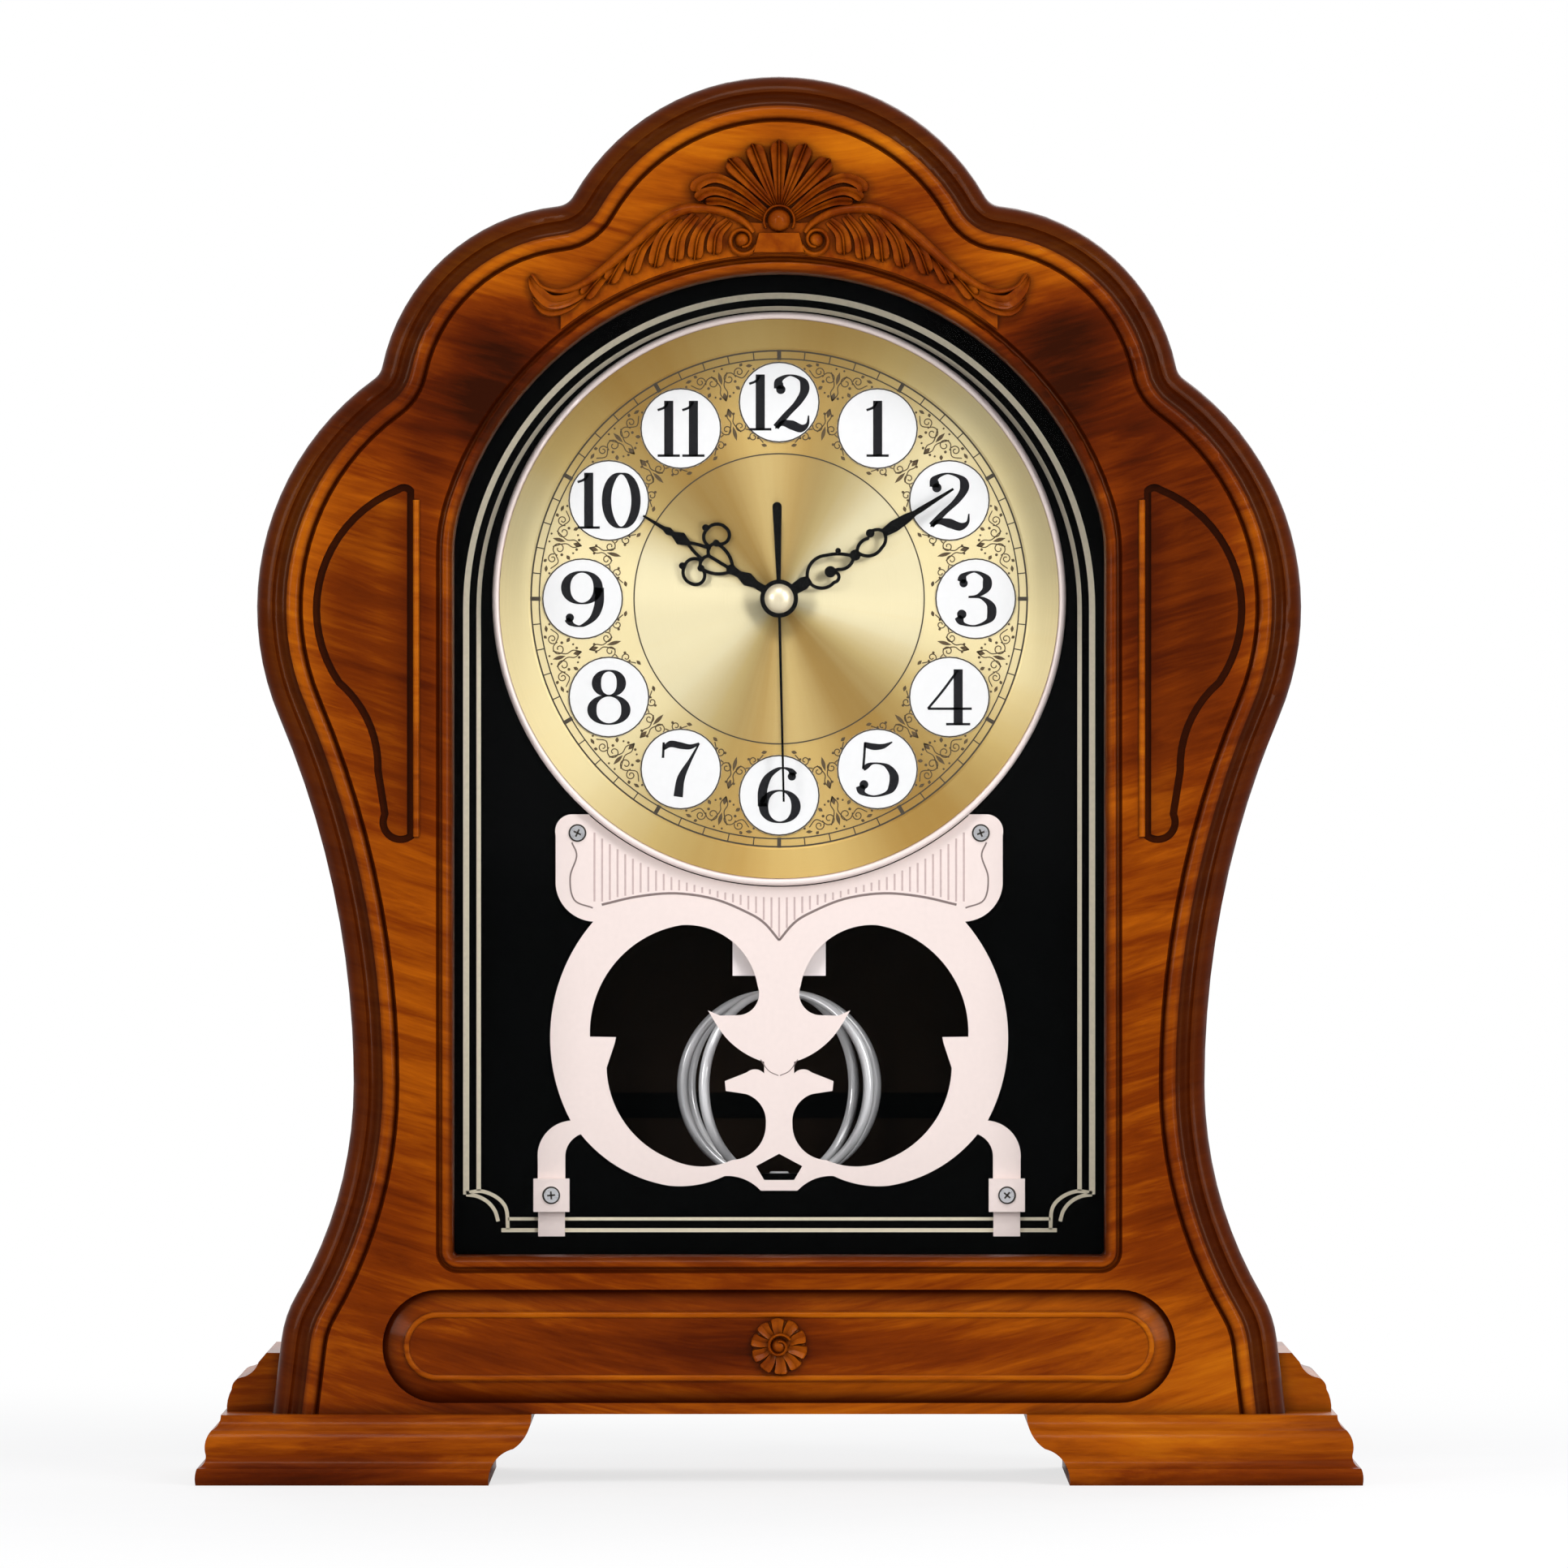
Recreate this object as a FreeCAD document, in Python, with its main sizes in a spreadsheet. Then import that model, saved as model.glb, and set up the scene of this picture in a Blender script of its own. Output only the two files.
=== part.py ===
# A lobed "beehive" shelf clock with a turning pendulum, in millimetres.
# The front faces -Y, +X is to the right and +Z is up.
# The origin lies on the table, under the middle of the clock.
import FreeCAD, Part
import math
import os
from types import SimpleNamespace
from FreeCAD import Placement, Rotation, Vector

# Driving dimensions: one row of the sheet each, lengths in millimetres, angles in degrees
SIZES = {
    # the whole clock
    "clock_height": 345.0,
    "clock_depth": 110.0,
    "fit": 0.3,
    "running_fit": 0.05,
    "overrun": 2.0,
    # outline of the front board, right half
    "board_bottom": 17.0,
    "board_thickness": 18.0,
    "board_setback": 12.0,
    "base_half": 124.3,
    "crown_radius": 58.1,
    "shoulder_radius": 49.7,
    "shoulder_out": 48.7,
    "shoulder_up": 263.8,
    "flank_radius": 69.1,
    "flank_out": 59.0,
    "waist_half": 104.4,
    "waist_up": 98.0,
    "knee_radius": 28.0,
    "knee_out": 94.3,
    "knee_up": 31.9,
    "cusp_radius": 5.0,
    "edge_moulding_width": 11.4,
    "edge_moulding_depth": 7.0,
    # window in the front board
    "arch_up": 214.7,
    "window_half": 79.9,
    "window_bottom": 55.7,
    "window_arch_radius": 82.0,
    "window_shoulder_radius": 40.0,
    "window_corner_radius": 1.2,
    "window_bead": 4.2,
    "window_bead_depth": 2.4,
    "bead_groove": 1.2,
    "glass_thickness": 2.0,
    "glass_lap": 4.0,
    # sunk panels of the front board
    "side_panel_in": 89.4,
    "side_panel_bottom": 157.1,
    "side_panel_height": 87.7,
    "side_panel_width": 23.9,
    "side_panel_depth": 1.2,
    "side_panel_groove": 1.8,
    "side_panel_groove_depth": 1.0,
    "low_panel_half": 97.2,
    "low_panel_bottom": 19.7,
    "low_panel_height": 27.8,
    "low_panel_slope": 5.3,
    "low_panel_depth": 2.2,
    "low_panel_step": 0.5,
    # carvings
    "crest_thickness": 4.5,
    "crest_wing_half": 60.0,
    "crest_lap": 1.0,
    "shell_radius": 17.6,
    "shell_up": 312.2,
    "shell_flute_radius": 2.6,
    "shell_bead_radius": 3.0,
    "crest_volute_radius": 3.2,
    "rosette_radius": 7.2,
    "rosette_thickness": 2.6,
    "rosette_button_radius": 2.3,
    # case
    "case_half": 98.0,
    "side_thickness": 10.0,
    "base_board_thickness": 14.4,
    "base_board_half": 135.9,
    "base_board_top_half": 126.2,
    "rebate_width": 5.0,
    "back_setback": 5.0,
    "back_thickness": 3.0,
    "foot_half": 142.6,
    "foot_top_half": 136.6,
    "foot_inner_top": 60.6,
    "foot_inner_bottom": 71.0,
    "liner_thickness": 7.0,
    "liner_depth": 14.0,
    "dial_board_thickness": 3.0,
    "screw_radius": 1.2,
    "screw_head_radius": 2.4,
    "screw_head": 1.4,
    "screw_length": 11.0,
    "foot_screw_radius": 2.0,
    "foot_screw_head_radius": 4.0,
    "foot_screw_head": 2.4,
    "foot_screw_length": 26.0,
    # dial
    "dial_up": 217.1,
    "dial_radius": 69.0,
    "dial_rise": 4.0,
    "dial_metal": 0.8,
    "dial_track_radius": 61.4,
    "dial_rim_step": 0.5,
    "dial_hole_radius": 4.2,
    "bezel_width": 1.8,
    "bezel_height": 4.8,
    "numeral_ring_radius": 48.5,
    "numeral_disc_radius": 10.0,
    "numeral_disc_thickness": 0.3,
    # hands, with clock angles clockwise from twelve
    "hour_hand_length": 39.3,
    "minute_hand_length": 50.8,
    "second_hand_length": 50.1,
    "second_tail_length": 23.8,
    "hour_hand_angle": 301.4,
    "minute_hand_angle": 57.8,
    "second_hand_angle": 178.7,
    "hand_thickness": 0.5,
    "hand_gap": 1.2,
    "hand_line": 0.85,
    "hand_hub_radius": 4.7,
    "second_needle_half": 0.36,
    "second_tail_half": 1.15,
    "hand_cap_radius": 3.6,
    "hand_cap_height": 1.6,
    # fret plate in front of the pendulum
    "fret_half": 59.6,
    "fret_bottom": 71.0,
    "fret_rise": 92.9,
    "fret_thickness": 1.2,
    "fret_leg_end": 74.0,
    "fret_leg_width": 6.8,
    "clamp_width": 8.9,
    "clamp_height": 8.2,
    "clamp_thickness": 2.2,
    "clamp_foot_width": 6.6,
    "clamp_foot_drop": 6.1,
    "ear_screw_out": 49.8,
    "ear_screw_up": 159.3,
    "fret_screw_radius": 0.9,
    "fret_screw_head_radius": 1.8,
    "fret_screw_head": 0.9,
    "fret_screw_length": 3.6,
    # opening of the dial board behind the fret
    "cutout_half": 48.6,
    "cutout_bottom": 75.2,
    "cutout_top": 138.4,
    "cutout_low_radius": 28.0,
    "cutout_high_radius": 24.0,
    # quartz movement
    "movement_half": 28.0,
    "movement_depth": 16.0,
    "movement_wall": 1.5,
    "battery_radius": 7.1,
    "battery_length": 49.5,
    "battery_nub_radius": 2.7,
    "battery_nub": 1.0,
    "contact_thickness": 0.4,
    "bush_radius": 4.0,
    "washer_radius": 7.5,
    "washer_thickness": 0.4,
    "nut_radius": 6.4,
    "nut_thickness": 1.8,
    "second_arbor_radius": 0.6,
    "minute_tube_radius": 1.3,
    "hour_tube_radius": 2.1,
    "gear_thickness": 1.0,
    "gear_gap": 0.3,
    "arbor_radius": 0.4,
    "pivot_depth": 0.8,
    "motion_reach": 7.0,
    "third_reach": 9.6,
    "fifth_reach": 10.0,
    "rotor_reach": 8.0,
    "motion_angle": 200.0,
    "setting_angle": 160.0,
    "third_angle": 110.0,
    "fifth_angle": 20.0,
    "rotor_angle": 60.0,
    "cannon_teeth": 12,
    "motion_wheel_teeth": 36,
    "motion_pinion_teeth": 10,
    "hour_wheel_teeth": 40,
    "centre_wheel_teeth": 64,
    "third_pinion_teeth": 8,
    "third_wheel_teeth": 60,
    "second_pinion_teeth": 8,
    "second_wheel_teeth": 60,
    "fifth_pinion_teeth": 10,
    "fifth_wheel_teeth": 60,
    "rotor_pinion_teeth": 12,
    "setting_teeth": 12,
    "setting_knob_radius": 4.5,
    "setting_knob_thickness": 2.6,
    "rotor_magnet_radius": 1.8,
    "rotor_magnet_length": 2.8,
    "stator_thickness": 0.8,
    "stator_width": 10.0,
    "coil_radius": 3.0,
    "coil_length": 20.0,
    "coil_core": 1.6,
    "circuit_thickness": 0.8,
    "circuit_width": 9.0,
    "circuit_height": 20.0,
    "crystal_radius": 0.9,
    "crystal_length": 6.0,
    # pendulum and its drive unit
    "pendulum_back": 19.5,
    "pendulum_radius": 24.3,
    "pendulum_top": 119.5,
    "pendulum_bottom": 73.0,
    "strand_radius": 1.35,
    "strand_end_radius": 0.7,
    "strand_spread": 32.0,
    "pendulum_rest": 8.0,
    "top_hub_radius": 3.6,
    "top_hub_height": 4.0,
    "axle_radius": 1.2,
    "axle_top": 138.5,
    "collar_radius": 2.4,
    "collar_thickness": 1.0,
    "magnet_radius": 6.0,
    "magnet_thickness": 4.0,
    "drive_neck_half": 11.5,
    "drive_neck_bottom": 124.0,
    "drive_box_bottom": 150.0,
    "drive_box_height": 32.0,
    "drive_floor": 2.0,
    "drive_well_radius": 9.5,
    "drive_lid_thickness": 1.7,
    "drive_coil_radius": 8.8,
    "drive_coil_height": 5.0,
    "pendulum_bush_radius": 2.4,
    "pendulum_bush_flange": 3.1,
    "pendulum_bush_flange_thickness": 1.0,
    # back panel and its door
    "door_half": 52.0,
    "door_bottom": 92.0,
    "door_height": 154.0,
    "door_gap": 0.5,
    "hinge_radius": 1.6,
    "hinge_pin_radius": 0.8,
    "hinge_lift": 0.2,
    "hinge_leaf": 0.8,
    "hinge_leaf_width": 10.0,
    "hinge_height": 18.0,
    "hinge_inset": 26.0,
    "latch_length": 26.0,
    "latch_width": 8.0,
    "latch_thickness": 2.4,
    "latch_out": 58.0,
    "latch_up": 170.0,
    "latch_pin_radius": 1.5,
    "latch_head_radius": 2.8,
    "latch_head": 1.2,
    "door_pull_radius": 4.0,
    "door_pull_neck_radius": 2.0,
    "door_pull_length": 4.4,
}


class Size(float):
    """A number that also carries the formula which ties it to the sheet."""

    def __new__(cls, value, formula):
        size = super().__new__(cls, value)
        size.formula = formula
        return size

    def __add__(self, other):
        return Size(float(self) + float(other), "(%s + %s)" % (self.formula, formula(other)))

    def __radd__(self, other):
        return Size(float(other) + float(self), "(%s + %s)" % (formula(other), self.formula))

    def __sub__(self, other):
        return Size(float(self) - float(other), "(%s - %s)" % (self.formula, formula(other)))

    def __rsub__(self, other):
        return Size(float(other) - float(self), "(%s - %s)" % (formula(other), self.formula))

    def __mul__(self, other):
        return Size(float(self) * float(other), "(%s * %s)" % (self.formula, formula(other)))

    def __rmul__(self, other):
        return Size(float(other) * float(self), "(%s * %s)" % (formula(other), self.formula))

    def __truediv__(self, other):
        return Size(float(self) / float(other), "(%s / %s)" % (self.formula, formula(other)))

    def __neg__(self):
        return Size(-float(self), "(-%s)" % self.formula)


def formula(number):
    """The sheet formula of a Size, or a plain number written out."""
    return number.formula if isinstance(number, Size) else repr(float(number))


doc = FreeCAD.newDocument("ShelfClock")
sheet = doc.addObject("Spreadsheet::Sheet", "Sizes")
for row, (alias, number) in enumerate(SIZES.items(), start=1):
    sheet.set("A%d" % row, alias)
    sheet.set("B%d" % row, str(number))
    sheet.setAlias("B%d" % row, alias)
doc.recompute()
s = SimpleNamespace(**{alias: Size(sheet.get(alias), "Sizes.%s" % alias) for alias in SIZES})
nodes = []
cuts_to_check = []


# General helpers: binding, bodies, sketches and primitives

def bind(thing, name, number):
    """Sets a property from a number, and ties it to the sheet where the number is a Size."""
    if isinstance(number, Size):
        thing.setExpression(name, number.formula)
    elif name.startswith("Placement"):
        placement = thing.Placement
        setattr(placement.Base, name.split(".")[-1], float(number))
        thing.Placement = placement
    else:
        setattr(thing, name, float(number))


def keep(thing, label):
    """Names a finished sub-part, which is then written to its own file."""
    thing.Label = label
    nodes.append(thing)
    return thing


def body(name):
    return doc.addObject("PartDesign::Body", name)


def plane_of(owner, role):
    return [datum for datum in owner.Origin.OriginFeatures if datum.Role == role][0]


def sketch(owner, role, offset, curves):
    """A sketch on one of the body's own origin planes, moved along the plane's normal."""
    drawing = owner.newObject("Sketcher::SketchObject", owner.Name + "Sketch")
    drawing.AttachmentSupport = [(plane_of(owner, role), "")]
    drawing.MapMode = "FlatFace"
    drawing.AttachmentOffset = Placement(Vector(0, 0, float(offset)), Rotation())
    if isinstance(offset, Size):
        drawing.setExpression("AttachmentOffset.Base.z", offset.formula)
    drawing.addGeometry(curves, False)
    return drawing


def pad(owner, drawing, length):
    feature = owner.newObject("PartDesign::Pad", owner.Name + "Pad")
    feature.Profile = drawing
    bind(feature, "Length", length)
    return feature


def pocket(owner, drawing, length):
    feature = owner.newObject("PartDesign::Pocket", owner.Name + "Pocket")
    feature.Profile = drawing
    bind(feature, "Length", length)
    cuts_to_check.append(feature)
    return feature


def plate(name, curves, front, back):
    """A body padded from an outline seen from the front, between two depths."""
    owner = body(name)
    pad(owner, sketch(owner, "XZ_Plane", -back, curves), back - front)
    return owner


def block(name, low, high):
    """A box between two corners."""
    box = doc.addObject("Part::Box", name)
    for side, axis, start, end in zip(("Length", "Width", "Height"), "xyz", low, high):
        bind(box, side, end - start)
        bind(box, "Placement.Base.%s" % axis, start)
    return box


TURNS = {"x": Rotation(Vector(0, 1, 0), 90), "y": Rotation(Vector(1, 0, 0), -90), "z": Rotation()}


def place(thing, centre, axis):
    thing.Placement = Placement(Vector(0, 0, 0), TURNS[axis])
    for letter, number in zip("xyz", centre):
        bind(thing, "Placement.Base.%s" % letter, number)
    return thing


def rod(name, radius, length, centre, axis="y"):
    """A cylinder that starts at a point and runs along an axis."""
    cylinder = doc.addObject("Part::Cylinder", name)
    bind(cylinder, "Radius", radius)
    bind(cylinder, "Height", length)
    return place(cylinder, centre, axis)


def cone(name, start_radius, end_radius, length, centre, axis="y"):
    frustum = doc.addObject("Part::Cone", name)
    bind(frustum, "Radius1", start_radius)
    bind(frustum, "Radius2", end_radius)
    bind(frustum, "Height", length)
    return place(frustum, centre, axis)


def fuse(name, *parts):
    union = doc.addObject("Part::MultiFuse", name)
    union.Shapes = list(parts)
    return union


def cut(name, base, *tools):
    """Takes one or more tools out of a solid."""
    result = doc.addObject("Part::Cut", name)
    result.Base = base
    result.Tool = tools[0] if len(tools) == 1 else fuse(name + "Tools", *tools)
    cuts_to_check.append(result)
    return result


def group(name, *parts):
    """Several separate solids that share one node."""
    compound = doc.addObject("Part::Compound", name)
    compound.Links = list(parts)
    return compound


def formed(name, shape):
    """A piece whose form comes from the geometry kernel's own functions."""
    feature = doc.addObject("Part::Feature", name)
    feature.Shape = shape
    return feature


# Outline helpers: points are (across, up) pairs seen from the front

def flat(point):
    return Vector(float(point[0]), float(point[1]), 0)


def upright(shape):
    """Turns a drawing made in the XY plane to face the front."""
    return shape.transformed(Placement(Vector(0, 0, 0), Rotation(Vector(1, 0, 0), 90)).toMatrix())


def trace(start, *steps):
    """Curves from a start point: a step is a point for a line, or (via, end) for an arc."""
    curves = []
    here = start
    for step in steps:
        if isinstance(step[0], tuple):
            curves.append(Part.Arc(flat(here), flat(step[0]), flat(step[1])))
            here = step[1]
        else:
            curves.append(Part.LineSegment(flat(here), flat(step)))
            here = step
    return curves


def mirror(point):
    return (-point[0], point[1])


def polar(centre, radius, angle):
    """A point on a circle, with the angle in radians from +X."""
    return (centre[0] + radius * math.cos(angle), centre[1] + radius * math.sin(angle))


def towards(centre, radius, target):
    return polar(centre, radius, math.atan2(target[1] - centre[1], target[0] - centre[0]))


def between(centre, radius, first, second):
    """The middle of the shorter arc between two points of a circle."""
    middle = (first[0] + second[0] - 2 * centre[0], first[1] + second[1] - 2 * centre[1])
    return polar(centre, radius, math.atan2(middle[1], middle[0]))


def circles_meet(first, first_radius, second, second_radius):
    """The meeting point of two circles that lies further out from the middle of the clock."""
    apart = math.hypot(second[0] - first[0], second[1] - first[1])
    along = (first_radius ** 2 - second_radius ** 2 + apart ** 2) / (2 * apart)
    half_angle = math.acos(along / first_radius)
    base_angle = math.atan2(second[1] - first[1], second[0] - first[0])
    return polar(first, first_radius, base_angle - half_angle)


def face_of(curves):
    return Part.Face(Part.Wire([curve.toShape() for curve in curves]))


def solid_between(curves, front, back):
    """A plain solid from an outline, between two depths."""
    face = upright(face_of(curves))
    face.translate(Vector(0, float(front), 0))
    return face.extrude(Vector(0, float(back - front), 0))


# Depth planes, from the front of the feet to the back of the case

feet_front = -s.clock_depth / 2
case_back = s.clock_depth / 2
board_front = feet_front + s.board_setback
board_back = board_front + s.board_thickness
glass_front = board_back - s.glass_thickness
dial_board_front = board_back + s.liner_depth
dial_board_back = dial_board_front + s.dial_board_thickness
panel_back = case_back - s.back_setback
panel_front = panel_back - s.back_thickness
base_board_top = s.board_bottom + s.base_board_thickness
case_inner_half = s.case_half - s.side_thickness


# Front board: lobed outline, moulded edge, window, sunk panels

crown_centre = (0, s.clock_height - s.crown_radius)
shoulder_centre = (s.shoulder_out, s.shoulder_up)
flank_centre = (s.flank_out, s.arch_up)
knee_centre = (s.knee_out, s.knee_up)
waist_point = (s.waist_half, s.waist_up)
base_corner = (s.base_half, s.board_bottom)


def waist_radius(centre, radius):
    """Radius of the hollow that touches the waist point and a lobe."""
    across = s.waist_half - centre[0]
    up = s.waist_up - centre[1]
    return (radius ** 2 - up ** 2 - across ** 2) / (2 * (across - radius))


def right_edge():
    """The edge from the bottom corner to the crown, as points and the arc that joins each pair."""
    crown_cusp = circles_meet(shoulder_centre, s.shoulder_radius + s.cusp_radius,
                              crown_centre, s.crown_radius + s.cusp_radius)
    flank_cusp = circles_meet(flank_centre, s.flank_radius + s.cusp_radius,
                              shoulder_centre, s.shoulder_radius + s.cusp_radius)
    high_waist = waist_radius(flank_centre, s.flank_radius)
    low_waist = waist_radius(knee_centre, s.knee_radius)
    high_centre = (s.waist_half + high_waist, s.waist_up)
    low_centre = (s.waist_half + low_waist, s.waist_up)
    run = math.hypot(base_corner[0] - knee_centre[0], base_corner[1] - knee_centre[1])
    fall = math.atan2(base_corner[1] - knee_centre[1], base_corner[0] - knee_centre[0])
    knee_point = polar(knee_centre, s.knee_radius, fall + math.acos(s.knee_radius / run))
    points = [
        base_corner,
        knee_point,
        towards(knee_centre, s.knee_radius, low_centre),
        waist_point,
        towards(flank_centre, s.flank_radius, high_centre),
        towards(flank_centre, s.flank_radius, flank_cusp),
        towards(shoulder_centre, s.shoulder_radius, flank_cusp),
        towards(shoulder_centre, s.shoulder_radius, crown_cusp),
        towards(crown_centre, s.crown_radius, crown_cusp),
    ]
    arcs = [
        None,
        (knee_centre, s.knee_radius),
        (low_centre, low_waist),
        (high_centre, high_waist),
        (flank_centre, s.flank_radius),
        (flank_cusp, s.cusp_radius),
        (shoulder_centre, s.shoulder_radius),
        (crown_cusp, s.cusp_radius),
    ]
    return points, arcs


def board_edge():
    """Curves of the whole edge, from the bottom right corner round to the bottom left one."""
    points, arcs = right_edge()
    steps = []
    for arc, start, end in zip(arcs, points, points[1:]):
        steps.append(end if arc is None else (between(arc[0], arc[1], start, end), end))
    steps.append(((0, s.clock_height), mirror(points[-1])))
    for arc, start, end in zip(arcs[::-1], points[::-1], points[-2::-1]):
        middle = None if arc is None else mirror(between(arc[0], arc[1], start, end))
        steps.append(mirror(end) if arc is None else (middle, mirror(end)))
    return trace(points[0], *steps)


def arch_outline(half, bottom, radius, shoulder, corner):
    """A window outline: straight sides, a big arch with easier shoulders, rounded lower corners."""
    reach = radius - shoulder
    rise = math.sqrt(reach ** 2 - (half - shoulder) ** 2)
    eased_centre = (half - shoulder, s.arch_up + rise)
    side_top = (half, eased_centre[1])
    arch_start = towards((0, s.arch_up), radius, eased_centre)
    side_low = (half, bottom + corner)
    corner_centre = (half - corner, bottom + corner)
    bottom_end = (half - corner, bottom)
    eased = between(eased_centre, shoulder, side_top, arch_start)
    turn = between(corner_centre, corner, bottom_end, side_low)
    return trace(
        side_low,
        side_top,
        (eased, arch_start),
        ((0, s.arch_up + radius), mirror(arch_start)),
        (mirror(eased), mirror(side_top)),
        mirror(side_low),
        (mirror(turn), mirror(bottom_end)),
        bottom_end,
        (turn, side_low),
    )


def window_outline(grow):
    """The window opening, grown evenly by a length on all sides."""
    return arch_outline(s.window_half + grow, s.window_bottom - grow, s.window_arch_radius + grow,
                        s.window_shoulder_radius + grow, s.window_corner_radius + grow)


def swept_ring(curves, profile, start, inward):
    """Sweeps a closed profile, given as (across, depth) steps, along a path of curves."""
    along = Vector(inward[0], 0, inward[1])
    origin = Vector(float(start[0]), float(board_front), float(start[1]))

    def lift(edge):
        ends = [origin + along * vertex.X + Vector(0, vertex.Y, 0) for vertex in edge]
        if len(ends) == 2:
            return Part.makeLine(*ends)
        return Part.Arc(*ends).toShape()

    edges = [lift(edge) for edge in profile]
    path = upright(Part.Wire([curve.toShape() for curve in curves]))
    path.translate(Vector(0, float(board_front), 0))
    return path.makePipeShell([Part.Wire(edges)], True, False)


def profile_edges(start, *steps):
    """Profile steps as lists of points: two for a line, three for an arc."""
    point = SimpleNamespace
    edges = []
    here = start
    for step in steps:
        if isinstance(step[0], tuple):
            ends = (here, step[0], step[1])
        else:
            ends = (here, step)
        edges.append([point(X=float(end[0]), Y=float(end[1])) for end in ends])
        here = ends[-1]
    return edges


# Shares of the edge moulding's width and depth, from the outer edge to the flat field
EDGE_MOULDING_SHARES = (
    (0.0, 1.0),
    ((0.10, 0.48), (0.33, 0.29)),
    ((0.49, 0.42), (0.64, 0.33)),
    (0.64, 0.09),
    ((0.77, 0.01), (0.90, 0.09)),
    (0.95, 0.19),
    (1.0, 0.0),
)


def share_steps(shares, width, depth):
    """Turns a table of shares into profile steps."""
    steps = []
    for share in shares:
        if isinstance(share[0], tuple):
            steps.append(tuple((across * width, down * depth) for across, down in share))
        else:
            steps.append((share[0] * width, share[1] * depth))
    return steps


def edge_moulding_cutter():
    """What the moulding plane takes off the front edge of the board."""
    steps = share_steps(EDGE_MOULDING_SHARES, s.edge_moulding_width, s.edge_moulding_depth)
    outside = -s.overrun
    profile = profile_edges(
        (outside, outside), (outside, s.edge_moulding_depth), *steps,
        (s.edge_moulding_width, outside), (outside, outside))
    points, _ = right_edge()
    run = (points[1][0] - points[0][0], points[1][1] - points[0][1])
    length = math.hypot(*run)
    inward = (-run[1] / length, run[0] / length)
    return swept_ring(board_edge(), profile, points[0], inward)


# Shares of the window bead's width and depth, from the window outward
WINDOW_BEAD_SHARES = (((0.28, 0.2), (0.62, 0.0)), ((0.9, 0.08), (1.0, 0.4)))


def window_bead_cutter():
    """The cuts that leave a round bead beside the window and a groove outside it."""
    bead_end = s.window_bead - s.bead_groove
    outside = -s.overrun
    inside = -s.window_corner_radius / 2
    profile = profile_edges(
        (inside, outside), (inside, s.window_bead_depth), (0, s.window_bead_depth),
        *share_steps(WINDOW_BEAD_SHARES, bead_end, s.window_bead_depth),
        (bead_end + s.bead_groove / 2, s.window_bead_depth / 2),
        (s.window_bead, 0), (s.window_bead, outside), (inside, outside))
    curves = window_outline(0)
    start = (s.window_half, s.window_bottom + s.window_corner_radius)
    return swept_ring(curves, profile, start, (1, 0))


# Shares of the side panel's width and height, from the lower inner corner round
SIDE_PANEL_SHARES = (
    (0.0, 0.985),
    ((0.07, 1.0), (0.18, 0.995)),
    ((0.98, 0.76), (0.80, 0.44)),
    ((0.50, 0.33), (0.41, 0.20)),
    (0.34, 0.08),
    ((0.20, 0.0), (0.0, 0.012)),
)


def side_panel_outline(side, grow):
    """The half-pear panel beside the window; side is 1 on the right and -1 on the left."""
    def at(share):
        return (side * (s.side_panel_in + share[0] * s.side_panel_width),
                s.side_panel_bottom + share[1] * s.side_panel_height)
    steps = []
    for share in SIDE_PANEL_SHARES:
        steps.append(tuple(at(point) for point in share) if isinstance(share[0], tuple) else at(share))
    wire = Part.Wire([curve.toShape() for curve in trace(steps[-1][-1], *steps)])
    return wire if grow == 0 else wire.makeOffset2D(grow)


def stadium(centre_up, half, half_height):
    """A long panel with full round ends."""
    straight = half - half_height
    low, high = centre_up - half_height, centre_up + half_height
    return trace((straight, low), ((half, centre_up), (straight, high)), (-straight, high),
                 ((-half, centre_up), (-straight, low)), (straight, low))


def low_panel_cutter():
    """A sunk groove round the low panel, sloping up to a flat middle."""
    half_height = s.low_panel_height / 2
    centre_up = s.low_panel_bottom + half_height
    outer = stadium(centre_up, s.low_panel_half, half_height)
    inner = stadium(centre_up, s.low_panel_half - s.low_panel_slope, half_height - s.low_panel_slope)
    cutter = solid_between(outer, board_front - s.overrun, board_front + s.low_panel_depth)
    wires = []
    for curves, depth in ((outer, s.low_panel_depth), (inner, s.low_panel_step)):
        wire = upright(Part.Wire([curve.toShape() for curve in curves]))
        wire.translate(Vector(0, float(board_front + depth), 0))
        wires.append(wire)
    slope = Part.makeLoft(wires, True, True)
    middle = solid_between(inner, board_front, board_front + s.low_panel_step)
    return cutter.cut(slope).cut(middle)


def make_front_board():
    board = plate("FrontBoardBlank", board_edge() + trace(mirror(base_corner), base_corner),
                  board_front, board_back)
    moulded = cut("MouldedBoard", board, formed("EdgeMouldingCutter", edge_moulding_cutter()))
    beaded = cut("BeadedBoard", moulded, formed("WindowBeadCutter", window_bead_cutter()))
    opening = plate("WindowOpening", window_outline(0), board_front - s.overrun, board_back + s.overrun)
    rebate = plate("GlassRebate", window_outline(s.glass_lap), glass_front, board_back + s.overrun)
    opened = cut("OpenedBoard", beaded, opening, rebate)
    panels = [formed("LowPanelCutter", low_panel_cutter())]
    for name, side in (("Left", -1), ("Right", 1)):
        for kind, grow, depth in (("Field", 0, s.side_panel_depth),
                                  ("Groove", 0, s.side_panel_depth + s.side_panel_groove_depth)):
            wire = upright(side_panel_outline(side, grow))
            wire.translate(Vector(0, float(board_front - s.overrun), 0))
            cutter = Part.Face(wire).extrude(Vector(0, float(depth + s.overrun), 0))
            if kind == "Groove":
                inner = upright(side_panel_outline(side, -s.side_panel_groove))
                inner.translate(Vector(0, float(board_front - s.overrun), 0))
                cutter = cutter.cut(Part.Face(inner).extrude(Vector(0, float(depth + s.overrun), 0)))
            panels.append(formed(name + "Panel" + kind, cutter))
    return keep(cut("FrontBoard", opened, *panels), "front_board")


# Carvings glued to the front board

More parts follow.
